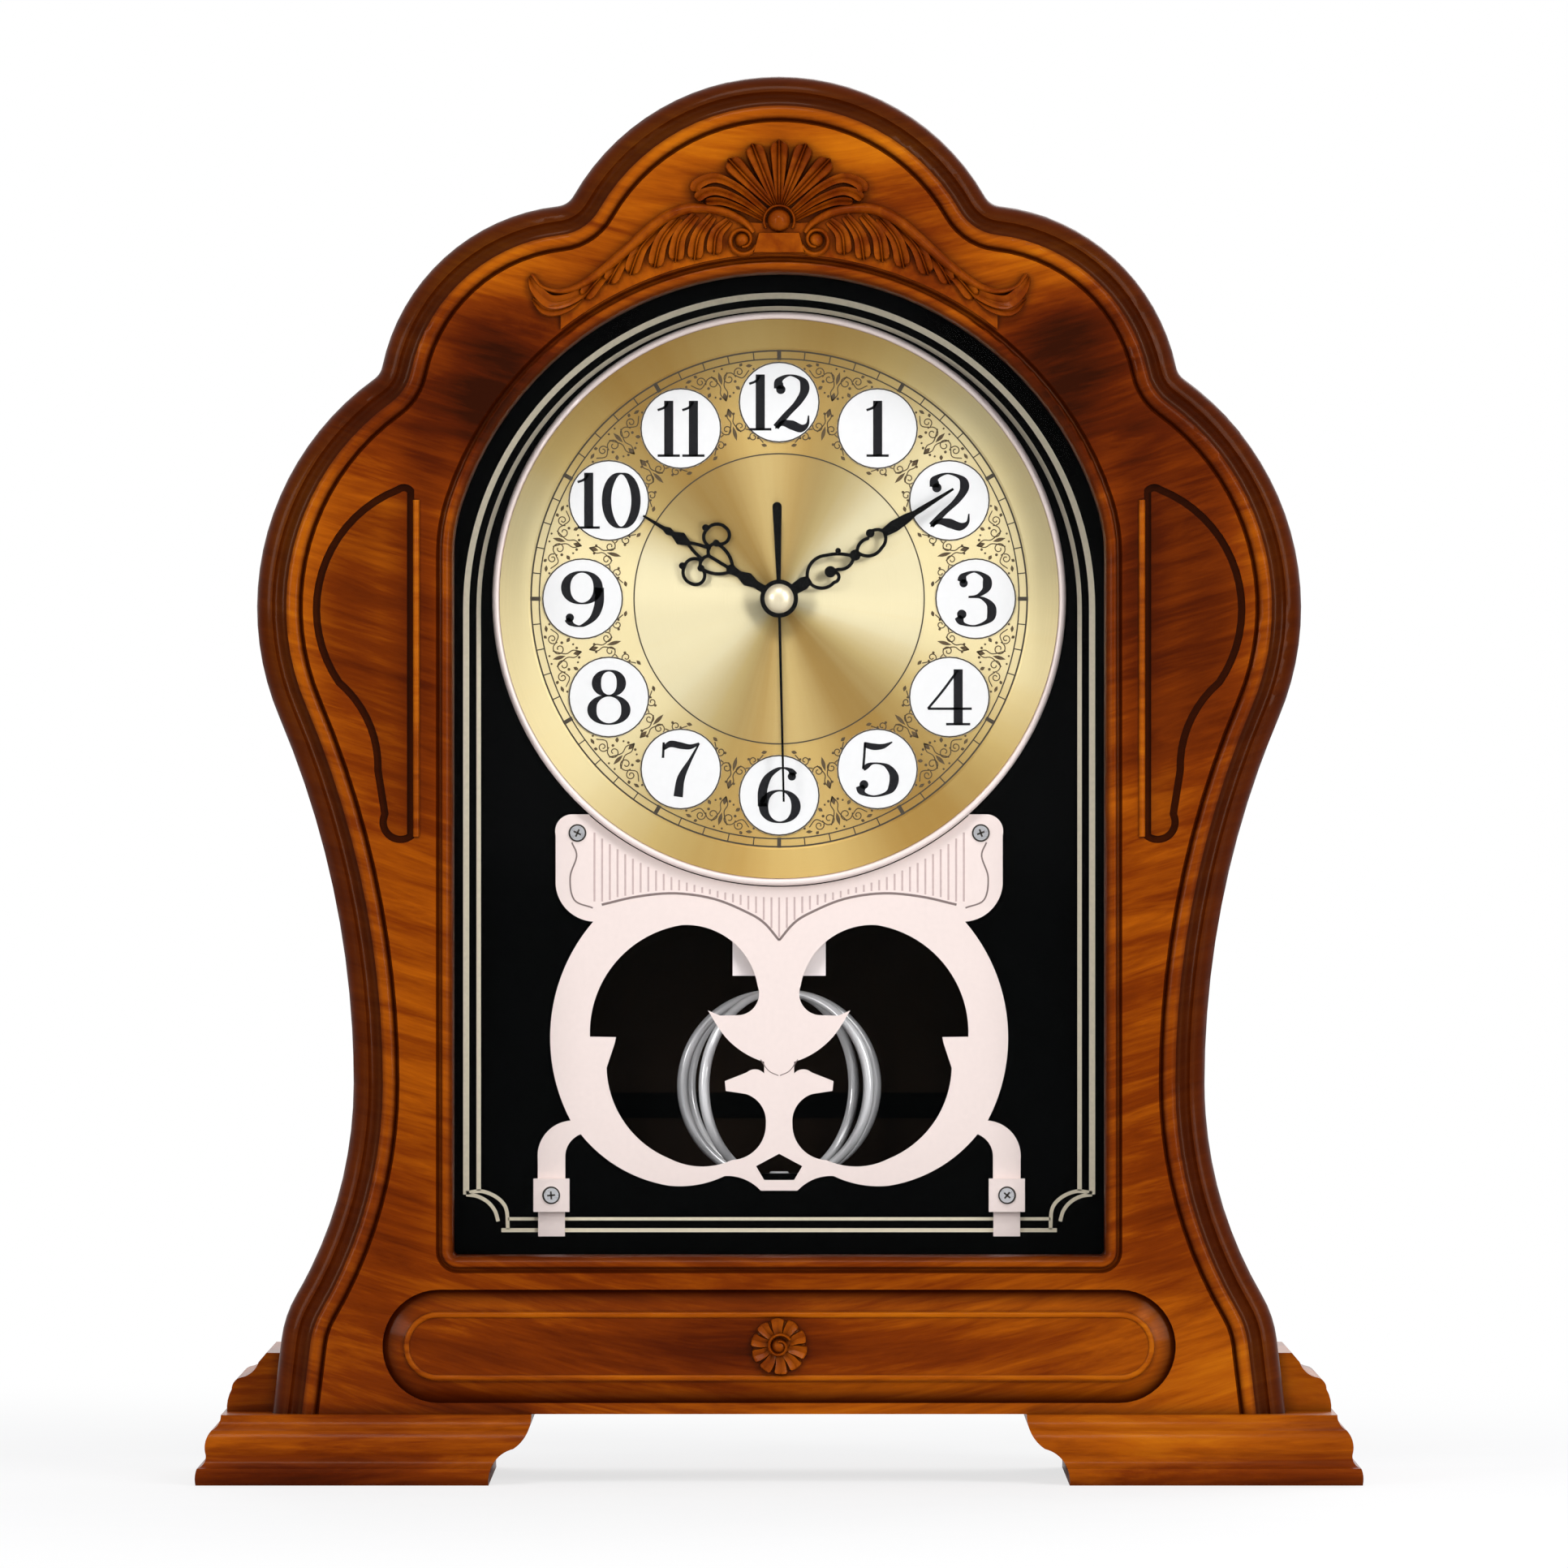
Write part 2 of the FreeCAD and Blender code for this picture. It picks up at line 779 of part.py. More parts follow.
# Upper and lower edges of a crest wing, as shares of its half width and of the radius of the arch
WING_UPPER_SHARES = (
    (0.12, 1.148),
    ((0.25, 1.205), (0.47, 1.183)),
    ((0.64, 1.125), (0.80, 1.084)),
    ((0.90, 1.098), (1.0, 1.155)),
)
WING_LOWER_SHARES = ((1.05, 1.10), (0.91, 1.042))
WING_LEAF_SHARES = (0.22, 0.33, 0.44, 0.56, 0.69)
WING_DEPTH_SHARE = 0.5
# Rise of a leaf rib as a share of the wing left beyond it, lean as a share of the carving's depth
LEAF_RISE_SHARE = 0.2
LEAF_LEAN_SHARE = 1.4
LEAF_FOOT_SHARE = 0.6
LEAF_TIP_SHARE = 0.9
SHELL_FLUTES = 9
SHELL_START_SHARE = 0.08
FLUTE_ROOT_SHARE = 0.3
CREST_BLOCK_DEPTH_SHARE = 0.7
SCROLL_DEPTH_SHARE = 0.8
SCROLL_OUT_SHARE = 1.5


def wing_curves(side):
    """Outline of one leaf-covered wing of the crest, lying along the window arch."""
    def at(share):
        across = share[0] * s.crest_wing_half
        reach = share[1] * s.window_arch_radius
        return (side * across, s.arch_up + math.sqrt(reach ** 2 - across ** 2))
    steps = [tuple(at(point) for point in step) for step in WING_UPPER_SHARES[1:]]
    steps.append(tuple(at(point) for point in WING_LOWER_SHARES))
    low_radius = s.window_arch_radius + s.window_bead + s.fit
    low_start = at(WING_LOWER_SHARES[1])
    low_start = towards((0, s.arch_up), low_radius, low_start)
    foot = (side * s.shell_bead_radius, s.arch_up + math.sqrt(low_radius ** 2 - s.shell_bead_radius ** 2))
    low_middle = between((0, s.arch_up), low_radius, low_start, foot)
    return trace(at(WING_UPPER_SHARES[0]), *steps, low_start, (low_middle, foot), at(WING_UPPER_SHARES[0]))


def leaf(side, share):
    """A slanted leaf rib of a wing, as a tapered rod with a round top."""
    across = share * s.crest_wing_half
    foot_reach = s.window_arch_radius + s.window_bead + s.shell_flute_radius
    top_reach = foot_reach + s.crest_wing_half * (1 - share) * LEAF_RISE_SHARE
    lean = s.crest_thickness * LEAF_LEAN_SHARE
    foot = Vector(side * across, float(board_front), s.arch_up + math.sqrt(foot_reach ** 2 - across ** 2))
    outer = across + lean
    top = Vector(side * outer, float(board_front), s.arch_up + math.sqrt(top_reach ** 2 - outer ** 2))
    tip_radius = s.shell_flute_radius * LEAF_TIP_SHARE
    rib = Part.makeCone(s.shell_flute_radius * LEAF_FOOT_SHARE, tip_radius, foot.distanceToPoint(top),
                        foot, top - foot)
    return rib.fuse(Part.makeSphere(tip_radius, top))


def crest_shape():
    """A fluted shell over a bead and block, between two leafy wings with scrolls."""
    hub = Vector(0, float(board_front), float(s.shell_up))
    pieces = []
    fan = 1 - 2 * SHELL_START_SHARE
    for number in range(SHELL_FLUTES):
        angle = math.pi * (SHELL_START_SHARE + fan * number / (SHELL_FLUTES - 1))
        tip = hub + Vector(math.cos(angle), 0, math.sin(angle)) * (s.shell_radius - s.shell_flute_radius)
        root = s.shell_flute_radius * FLUTE_ROOT_SHARE
        flute = Part.makeCone(root, s.shell_flute_radius, hub.distanceToPoint(tip),
                              hub, tip - hub)
        pieces.append(flute)
        pieces.append(Part.makeSphere(s.shell_flute_radius, tip))
    bead = hub - Vector(0, 0, float(s.shell_bead_radius))
    pieces.append(Part.makeSphere(s.shell_bead_radius, bead))
    low_radius = s.window_arch_radius + s.window_bead + s.fit
    block_half = s.shell_bead_radius * 2
    block_foot = s.arch_up + low_radius
    block_depth = s.crest_thickness * CREST_BLOCK_DEPTH_SHARE
    scroll_depth = s.crest_thickness * SCROLL_DEPTH_SHARE
    pieces.append(Part.makeBox(block_half * 2, block_depth, bead.z - block_foot,
                               Vector(-block_half, float(board_front - block_depth), block_foot)))
    for side in (-1, 1):
        wing_front = board_front - s.crest_thickness * WING_DEPTH_SHARE
        pieces.append(solid_between(wing_curves(side), wing_front, board_front))
        scroll = Vector(side * block_half * SCROLL_OUT_SHARE, float(board_front - scroll_depth),
                        float(block_foot + s.crest_volute_radius))
        backward = Vector(0, 1, 0)
        pieces.append(Part.makeCylinder(s.crest_volute_radius, scroll_depth, scroll, backward))
        pieces.extend(leaf(side, share) for share in WING_LEAF_SHARES)
    carving = pieces[0].multiFuse(pieces[1:])
    reach = s.clock_height
    front_half = Part.makeBox(reach * 2, s.clock_depth, reach * 2,
                              Vector(-reach, float(board_front - s.clock_depth), 0))
    return carving.common(front_half).removeSplitter()


# Disc, petal and petal-place shares of the rosette's radius and thickness
ROSETTE_DISC_SHARES = (0.86, 0.4)
PETALS = 10
PETAL_PLACE_SHARE = 0.7
PETAL_SHARES = (0.3, 0.14, 0.8)


def rosette_shape():
    """A round flower: a disc, a ring of petals and a middle button."""
    up = s.low_panel_bottom + s.low_panel_height / 2
    centre = Vector(0, float(board_front), float(up))
    forward = Vector(0, -1, 0)
    disc, disc_depth = ROSETTE_DISC_SHARES
    root, tip, depth = PETAL_SHARES
    pieces = [Part.makeCylinder(s.rosette_radius * disc, s.rosette_thickness * disc_depth, centre, forward)]
    for number in range(PETALS):
        angle = 2 * math.pi * number / PETALS
        out = Vector(math.cos(angle), 0, math.sin(angle)) * (s.rosette_radius * PETAL_PLACE_SHARE)
        pieces.append(Part.makeCone(s.rosette_radius * root, s.rosette_radius * tip,
                                    s.rosette_thickness * depth, centre + out, forward))
    pieces.append(Part.makeCylinder(s.rosette_button_radius, s.rosette_thickness, centre, forward))
    return pieces[0].multiFuse(pieces[1:]).removeSplitter()


# Case behind the front board: base board, sides, bent arch, back, feet

# Moulded profile of the base board's edge, as shares of its thickness and of the slope's width
BASE_EDGE_SHARES = ((0.0, 0.0), ((0.02, 0.20), (0.12, 0.38)), ((0.20, 0.52), (0.36, 0.58)),
                    ((0.62, 0.66), (0.80, 0.84)), (1.0, 1.0))
# Moulded profile of a foot, from the table up, as shares of its height and of the slope's width
FOOT_EDGE_SHARES = ((0.0, 0.0), ((-0.03, 0.10), (0.05, 0.24)), ((0.30, 0.30), (0.40, 0.44)),
                    ((0.42, 0.66), (0.62, 0.78)), ((0.84, 0.84), (1.0, 1.0)))


# Ogee at the inner end of a foot, as shares of its run and of the foot's height, from the top
FOOT_OGEE_SHARES = (((0.12, 0.72), (0.42, 0.52)), ((0.86, 0.34), (1.0, 0.0)))


def edge_points(shares, outer, inner, bottom, top, side=1):
    """A moulded edge from its lowest, widest point to its highest, narrowest one."""
    def at(share):
        return (side * (outer + (inner - outer) * share[0]), bottom + (top - bottom) * share[1])
    start = at(shares[0])
    steps = []
    for share in shares[1:]:
        steps.append(tuple(at(point) for point in share) if isinstance(share[0], tuple) else at(share))
    return start, steps


def backwards(start, steps):
    """The same run of points taken from its end to its start."""
    points = [start] + [step[1] if isinstance(step[0], tuple) else step for step in steps]
    turned = []
    for step, earlier in zip(steps[::-1], points[-2::-1]):
        turned.append((step[0], earlier) if isinstance(step[0], tuple) else earlier)
    return turned


def make_foot_screws(side):
    """Two countersunk screws up through a foot into the base board."""
    across = side * (s.foot_inner_bottom + s.foot_top_half) / 2
    up = s.foot_screw_length + s.foot_screw_head
    ends = (("Front", board_back + s.foot_screw_length / 2), ("Back", case_back - s.foot_screw_length / 2))
    return [screw("%sFootScrew%d" % (end, side + 1), (across, depth, up), s.foot_screw_radius,
                  s.foot_screw_length, s.foot_screw_head_radius, s.foot_screw_head, "z", -1)
            for end, depth in ends]


def make_base_board(screws):
    """A board across both feet, with moulded ends that show beside the front board."""
    right = edge_points(BASE_EDGE_SHARES, s.base_board_half, s.base_board_top_half,
                        s.board_bottom, base_board_top)
    left = edge_points(BASE_EDGE_SHARES, s.base_board_half, s.base_board_top_half,
                       s.board_bottom, base_board_top, -1)
    left_top = left[1][-1]
    curves = trace(right[0], *right[1], left_top, *backwards(*left), right[0])
    blank = plate("BaseBoardBlank", curves, board_back, case_back)
    return keep(cut("BaseBoard", blank, *screws), "base_board")


def make_foot(label, side, screws):
    """A bracket foot: moulded on its outer side and front, with an ogee cut at its inner end."""
    outer = edge_points(FOOT_EDGE_SHARES, s.foot_half, s.foot_top_half, 0, s.board_bottom, side)
    rise = s.board_bottom
    step_in = (s.foot_inner_bottom - s.foot_inner_top)
    inner_top = (side * s.foot_inner_top, rise)
    ogee = [tuple((side * (s.foot_inner_top + step_in * run), rise * up) for run, up in step)
            for step in FOOT_OGEE_SHARES]
    curves = trace(outer[0], *outer[1], inner_top, *ogee, outer[0])
    foot = plate(label.title().replace("_", "") + "Blank", curves, feet_front, case_back)
    slope = s.foot_half - s.foot_top_half
    front = edge_points(FOOT_EDGE_SHARES, feet_front, feet_front + slope, 0, rise)
    far = feet_front - s.overrun
    profile = trace(front[0], *front[1], (front[1][-1][1][0], rise + s.overrun), (far, rise + s.overrun),
                    (far, 0), front[0])
    moulding = sketch(foot, "YZ_Plane", side * s.foot_half / 2, profile)
    front_cut = pocket(foot, moulding, s.foot_half + s.overrun)
    front_cut.Midplane = True
    return keep(cut(label.title().replace("_", ""), foot, *screws), label)


def make_side(label, side, screws):
    """A side board of the case, rebated at the back for the back panel."""
    low, high = sorted((side * s.case_half, side * case_inner_half))
    board = block(label + "Board", (low, board_back, base_board_top), (high, case_back, s.arch_up))
    rebate_low, rebate_high = sorted((side * case_inner_half, side * (case_inner_half + s.rebate_width)))
    rebate = block(label + "Rebate", (rebate_low, panel_front, base_board_top - s.overrun),
                   (rebate_high, case_back + s.overrun, s.arch_up + s.overrun))
    return keep(cut(label.title().replace("_", ""), board, rebate, *screws), label)


def half_ring(outer, inner):
    """Half of a ring standing on the springing line of the arch."""
    up = s.arch_up
    return trace((outer, up), ((0, up + outer), (-outer, up)), (-inner, up), ((0, up + inner), (inner, up)),
                 (outer, up))


def tombstone(half, bottom):
    """A plain outline with a half-round top, centred on the arch."""
    return trace((half, bottom), (half, s.arch_up), ((0, s.arch_up + half), (-half, s.arch_up)),
                 (-half, bottom), (half, bottom))


def make_arch(screws):
    """The bent plywood top of the case, rebated like the sides."""
    ring = plate("ArchRing", half_ring(s.case_half, case_inner_half), board_back, case_back)
    rebate = plate("ArchRebate", half_ring(case_inner_half + s.rebate_width, case_inner_half - s.overrun),
                   panel_front, case_back + s.overrun)
    return keep(cut("ArchTop", ring, rebate, *screws), "arch_top")


def make_glass():
    """The window pane, let into a rebate at the back of the front board."""
    return keep(plate("WindowGlass", window_outline(s.glass_lap - s.fit), glass_front, board_back),
                "window_glass")


def make_liner(screws):
    """A black frame that holds the glass in and the dial board at its distance."""
    outer = tombstone(case_inner_half - s.fit, base_board_top)
    inner = window_outline(case_inner_half - s.fit - s.liner_thickness - s.window_half)
    frame = plate("WindowLinerBlank", outer + inner, board_back, dial_board_front)
    return keep(cut("WindowLiner", frame, *screws), "window_liner")


# Dial board and dial

def turned(name, curves, up):
    """A body turned about the line that runs front to back at a height; curves are (radius, depth)."""
    owner = body(name)
    spin = owner.newObject("PartDesign::Revolution", name + "Turning")
    spin.Profile = sketch(owner, "XY_Plane", up, curves)
    spin.ReferenceAxis = (spin.Profile[0], ["V_Axis"])
    spin.Angle = 360
    return owner


def spindle(name, curves):
    """A body turned about the upright axis of the pendulum; curves are (radius, height)."""
    owner = body(name)
    spin = owner.newObject("PartDesign::Revolution", name + "Turning")
    spin.Profile = sketch(owner, "XZ_Plane", -s.pendulum_back, curves)
    spin.ReferenceAxis = (spin.Profile[0], ["V_Axis"])
    spin.Angle = 360
    return owner


def loop(*points):
    """A closed polygon."""
    return trace(points[0], *points[1:], points[0])


def cutout_outline():
    """The rounded opening of the dial board, hidden behind the rim of the fret."""
    half, low, high = s.cutout_half, s.cutout_bottom, s.cutout_top
    small, large = s.cutout_high_radius, s.cutout_low_radius
    high_centre = (half - small, high - small)
    low_centre = (half - large, low + large)
    high_turn = polar(high_centre, small, math.pi / 4)
    low_turn = polar(low_centre, large, -math.pi / 4)
    return trace(
        (half, low_centre[1]), (half, high_centre[1]),
        (high_turn, (high_centre[0], high)), (-high_centre[0], high),
        (mirror(high_turn), (-half, high_centre[1])), (-half, low_centre[1]),
        (mirror(low_turn), (-low_centre[0], low)), (low_centre[0], low),
        (low_turn, (half, low_centre[1])))


def screw(name, tip, radius, length, head_radius, head, axis="y", step=1, flush=True):
    """A screw whose shank starts at its tip and runs along an axis up to its head."""
    offsets = {"x": (1, 0, 0), "y": (0, 1, 0), "z": (0, 0, 1)}[axis]
    def along(distance):
        return tuple(base + unit * step * distance for base, unit in zip(tip, offsets))
    shank = cone_or_rod(name + "Shank", radius, radius, length, tip, along(length), axis, step)
    far = cone_or_rod(name + "Head", radius if flush else head_radius, head_radius, head,
                      along(length), along(length + head), axis, step)
    return fuse(name, shank, far)


def cone_or_rod(name, start_radius, end_radius, length, start, end, axis, step):
    """A round piece from one point to another along an axis, built from its lower end."""
    low = start if step > 0 else end
    first, second = (start_radius, end_radius) if step > 0 else (end_radius, start_radius)
    if float(first) == float(second):
        return rod(name, first, length, low, axis)
    return cone(name, first, second, length, low, axis)


# Places of the dial board's screws: heights on the sides, one on the low rail, angles on the arch
DIAL_SCREW_RISE_SHARES = (0.08, 0.42, 0.78)
DIAL_SCREW_RAIL_SHARE = 0.52
DIAL_SCREW_ANGLES = (45, 75)


def dial_screw_places():
    """Places of the dial board's screws, in the liner behind the front board."""
    half = case_inner_half - s.fit - s.liner_thickness / 2
    places = []
    for up in DIAL_SCREW_RISE_SHARES:
        places.append((half, base_board_top + (s.arch_up - base_board_top) * up))
    low_rail = (s.window_bottom + base_board_top) / 2
    places.append((half * DIAL_SCREW_RAIL_SHARE, low_rail))
    for angle in DIAL_SCREW_ANGLES:
        places.append(polar((0, s.arch_up), half, math.radians(angle)))
    return places + [mirror(place) for place in places]


def make_dial_screws():
    """Countersunk screws that hold the dial board to the liner, put in from behind."""
    length = s.screw_length - s.screw_head
    return [screw("DialScrew%d" % number, (across, dial_board_back - s.screw_length, up),
                  s.screw_radius, length, s.screw_head_radius, s.screw_head)
            for number, (across, up) in enumerate(dial_screw_places())]


def make_dial_board(screws):
    """A black board with an opening for the pendulum and a hole for the movement."""
    outline = tombstone(case_inner_half - s.fit, base_board_top) + cutout_outline()
    board = plate("DialBoardBlank", outline, dial_board_front, dial_board_back)
    hole = rod("DialBoardHole", s.bush_radius + s.running_fit, s.dial_board_thickness + s.overrun * 2,
               (0, dial_board_front - s.overrun, s.dial_up))
    return keep(cut("DialBoard", board, hole, *screws), "dial_board")


HOURS = 12
dial_front = dial_board_front - s.dial_rise
dial_back = dial_front + s.dial_metal


def make_dial():
    """A dished dial with a raised outer rim, its bezel ring and twelve numeral discs."""
    wall = s.dial_radius - s.dial_metal
    step = dial_front - s.dial_rim_step
    curves = loop((s.dial_hole_radius, dial_front), (s.dial_track_radius, dial_front),
                  (s.dial_track_radius + s.dial_rim_step, step), (s.dial_radius, step),
                  (s.dial_radius, dial_board_front), (wall, dial_board_front), (wall, dial_back),
                  (s.dial_hole_radius, dial_back))
    keep(turned("DialPlate", curves, s.dial_up), "dial_plate")
    inner = s.dial_radius
    outer = s.dial_radius + s.bezel_width
    crest = dial_board_front - s.bezel_height
    curves = trace((inner, dial_board_front), (inner, crest + s.bezel_width / 2),
                   ((inner + s.bezel_width / 2, crest), (outer, crest + s.bezel_width / 2)),
                   (outer, dial_board_front), (inner, dial_board_front))
    keep(turned("DialBezel", curves, s.dial_up), "dial_bezel")
    discs = []
    for number in range(HOURS):
        angle = 2 * math.pi * number / HOURS
        across, up = polar((0, s.dial_up), s.numeral_ring_radius, angle)
        discs.append(rod("NumeralDisc%d" % number, s.numeral_disc_radius, s.numeral_disc_thickness,
                         (across, dial_front - s.numeral_disc_thickness, up)))
    keep(group("NumeralDiscs", *discs), "numeral_discs")


# Fret plate: shares of its half width and of its rise, right half

FRET_OUTER_SHARES = (
    (0.866, 1.000), ((0.909, 0.986), (0.926, 0.944)), (0.926, 0.813),
    ((0.893, 0.757), (0.770, 0.715)), ((0.946, 0.447), (0.864, 0.186)),
    ((0.966, 0.153), (1.000, 0.081)), (1.000, 0.032), (0.886, 0.032), (0.886, 0.086),
    ((0.866, 0.129), (0.822, 0.150)), ((0.680, 0.068), (0.455, 0.013)),
    ((0.327, 0.017), (0.225, 0.039)), ((0.143, 0.030), (0.076, 0.000)),
)
FRET_EAR_SHARE = (0.785, 1.000)
FRET_INNER_SHARES = (
    (0.403, 0.706), ((0.183, 0.656), (0.089, 0.544)), ((0.101, 0.489), (0.174, 0.466)),
    (0.245, 0.465), (0.295, 0.479), (0.265, 0.447), ((0.159, 0.372), (0.062, 0.342)),
    (0.062, 0.311), ((0.094, 0.322), (0.134, 0.314)), (0.225, 0.291), (0.221, 0.265),
    (0.138, 0.257), ((0.076, 0.228), (0.055, 0.178)), ((0.087, 0.116), (0.196, 0.081)),
    ((0.305, 0.064), (0.455, 0.085)), ((0.638, 0.178), (0.715, 0.326)), (0.681, 0.392),
    (0.676, 0.408), (0.784, 0.409), ((0.696, 0.592), (0.403, 0.706)),
)
FRET_EYE_SHARES = ((0.000, 0.098), (0.096, 0.065), (0.062, 0.028))


def fret_point(share, side=1):
    return (side * share[0] * s.fret_half, s.fret_bottom + share[1] * s.fret_rise)


def fret_steps(shares, side=1):
    steps = []
    for share in shares:
        if isinstance(share[0], tuple):
            steps.append(tuple(fret_point(point, side) for point in share))
        else:
            steps.append(fret_point(share, side))
    return steps


def fret_outline():
    """The whole outer edge, whose top follows the bezel of the dial."""
    centre = (0, s.dial_up)
    radius = s.dial_radius + s.bezel_width + s.fit
    ear = fret_point(FRET_EAR_SHARE)
    meet = (ear[0], s.dial_up - math.sqrt(radius ** 2 - ear[0] ** 2))
    right = fret_steps(FRET_OUTER_SHARES)
    left_end = fret_point(FRET_OUTER_SHARES[-1][1], -1)
    left = backwards(mirror(ear), fret_steps(FRET_OUTER_SHARES, -1))
    bottom = (centre[0], centre[1] - radius)
    return trace(meet, ear, *right, left_end, *left, mirror(meet), (bottom, meet))


fret_front = dial_board_front - s.fret_thickness
leg_middle = s.fret_half - s.fret_leg_width / 2
clamp_bottom = s.fret_leg_end - s.clamp_height


def make_fret_feet():
    """A clamp block over each leg of the fret, with a toe that reaches down the dial board."""
    feet = []
    for side, hand in ((1, "Right"), (-1, "Left")):
        middle = side * leg_middle
        half, toe_half = s.clamp_width / 2, s.clamp_foot_width / 2
        clamp = block(hand + "Clamp", (middle - half, fret_front - s.clamp_thickness, clamp_bottom),
                      (middle + half, fret_front, s.fret_leg_end))
        toe = block(hand + "Toe", (middle - toe_half, fret_front, clamp_bottom - s.clamp_foot_drop),
                    (middle + toe_half, dial_board_front, s.fret_leg_end - s.fit))
        feet.append(fuse(hand + "FretFoot", clamp, toe))
    return feet


def make_fret_screws():
    """Two screws through the ears of the fret and two through its clamps."""
    screws = []
    for side, hand in ((1, "Right"), (-1, "Left")):
        places = (("Leg", leg_middle, (s.fret_leg_end + clamp_bottom) / 2, fret_front - s.clamp_thickness),
                  ("Ear", s.ear_screw_out, s.ear_screw_up, fret_front))
        for kind, out, up, seat in places:
            tip = (side * out, fret_front + s.fret_screw_length, up)
            screws.append(screw(hand + kind + "Screw", tip, s.fret_screw_radius, tip[1] - seat,
                                s.fret_screw_head_radius, s.fret_screw_head, "y", -1, False))
    return screws


def make_fret(screws):
    """A pierced metal plate with two round openings parted by an anchor-shaped middle."""
    openings = []
    for side in (1, -1):
        steps = fret_steps(FRET_INNER_SHARES, side)
        openings += trace(steps[0], *steps[1:])
    eye = [fret_point(share) for share in FRET_EYE_SHARES]
    openings += loop(*eye, mirror(eye[2]), mirror(eye[1]))
    blank = plate("FretBlank", fret_outline() + openings, fret_front, dial_board_front)
    return keep(cut("FretPlate", blank, *screws), "fret_plate")


# Hands: strokes and spots as shares of each hand's length, across and along

HOUR_STROKE_SHARES = (
    ((0.000, 0.341), ((-0.074, 0.422), (-0.092, 0.519))),
    ((0.000, 0.341), (0.000, 0.524)),
    ((0.000, 0.514), ((-0.048, 0.542), (-0.092, 0.519))),
    ((-0.092, 0.519), ((-0.150, 0.466), (-0.206, 0.519)), ((-0.196, 0.578), (-0.135, 0.613)),
     ((-0.087, 0.608), (-0.053, 0.555))),
    ((-0.041, 0.539), ((-0.028, 0.601), (0.000, 0.677))),
)
HOUR_SPOT_SHARES = ((-0.140, 0.626, 0.022), (-0.092, 0.519, 0.022), (0.000, 0.352, 0.032))
HOUR_BLADE_SHARES = (
    (0.026, 0.080), (0.024, 0.173), (0.044, 0.234), (0.022, 0.295), (0.028, 0.350), (0.012, 0.372),
)
HOUR_TIP_SHARES = (
    (0.014, 0.660), (0.043, 0.725), (0.016, 0.781), (0.026, 0.814), (0.013, 0.850), (0.007, 1.000),
)
MINUTE_STROKE_SHARES = (
    ((0.000, 0.165), ((-0.067, 0.240), (-0.057, 0.303)), ((-0.031, 0.358), (0.016, 0.413))),
    ((0.000, 0.165), ((0.071, 0.209), (0.075, 0.268)), ((0.063, 0.303), (0.031, 0.293))),
    ((0.016, 0.417), ((0.047, 0.370), (0.033, 0.319)), (0.024, 0.287)),
    ((0.010, 0.441), ((0.065, 0.504), (0.057, 0.551)), ((0.041, 0.583), (0.006, 0.602))),
    ((0.010, 0.441), ((-0.018, 0.476), (-0.018, 0.520))),
    ((-0.037, 0.555), ((-0.026, 0.587), (0.006, 0.606))),
)
MINUTE_SPOT_SHARES = (
    (0.022, 0.280, 0.028), (-0.044, 0.366, 0.014), (0.018, 0.425, 0.027), (-0.033, 0.543, 0.021),
)
MINUTE_BLADE_SHARES = ((0.026, 0.070), (0.032, 0.140), (0.020, 0.178))
MINUTE_TIP_SHARES = (
    (0.020, 0.598), (0.029, 0.657), (0.023, 0.736), (0.013, 0.780), (0.014, 0.807), (0.006, 1.000),
)


def stroke(shares, length, width):
    """A line of even width with round ends along a run of lines and arcs."""
    def at(share):
        return (share[0] * length, share[1] * length)
    steps = [tuple(at(point) for point in step) if isinstance(step[0], tuple) else at(step)
             for step in shares[1:]]
    curves = trace(at(shares[0]), *steps)
    upward = Vector(0, 0, 1)
    pieces = []
    for curve in curves:
        edge = curve.toShape()
        ends = [vertex.Point for vertex in edge.Vertexes]
        if isinstance(curve, Part.LineSegment):
            across = (ends[1] - ends[0]).normalize().cross(upward) * (width / 2)
            corners = [ends[0] + across, ends[1] + across, ends[1] - across, ends[0] - across]
            pieces.append(Part.Face(Part.makePolygon(corners + corners[:1])))
        else:
            centre, radius = edge.Curve.Center, edge.Curve.Radius
            rings = [Part.Face(Part.Wire(Part.makeCircle(radius + side * width / 2, centre, upward)))
                     for side in (1, -1)]
            pieces.append(rings[0].cut(rings[1]).common(sector(edge, centre, (radius + width) * 2)))
        pieces.extend(Part.Face(Part.Wire(Part.makeCircle(width / 2, end, upward))) for end in ends)
    return pieces


SECTOR_STEPS = 4


def sector(edge, centre, reach):
    """The wedge of the plane that an arc spans, seen from its centre."""
    corners = [centre]
    for number in range(SECTOR_STEPS + 1):
        share = number / SECTOR_STEPS
        point = edge.valueAt(edge.FirstParameter + share * (edge.LastParameter - edge.FirstParameter))
        corners.append(centre + (point - centre).normalize() * reach)
    return Part.Face(Part.makePolygon(corners + corners[:1]))


def blade(shares, length):
    """A symmetrical outline along the hand from half widths."""
    right = [flat((half * length, along * length)) for half, along in shares]
    left = [flat((-half * length, along * length)) for half, along in shares[::-1]]
    return Part.Face(Part.makePolygon(right + left + right[:1]))


def spot(share, length):
    centre = flat((share[0] * length, share[1] * length))
    return Part.Face(Part.Wire(Part.makeCircle(share[2] * length, centre, Vector(0, 0, 1))))


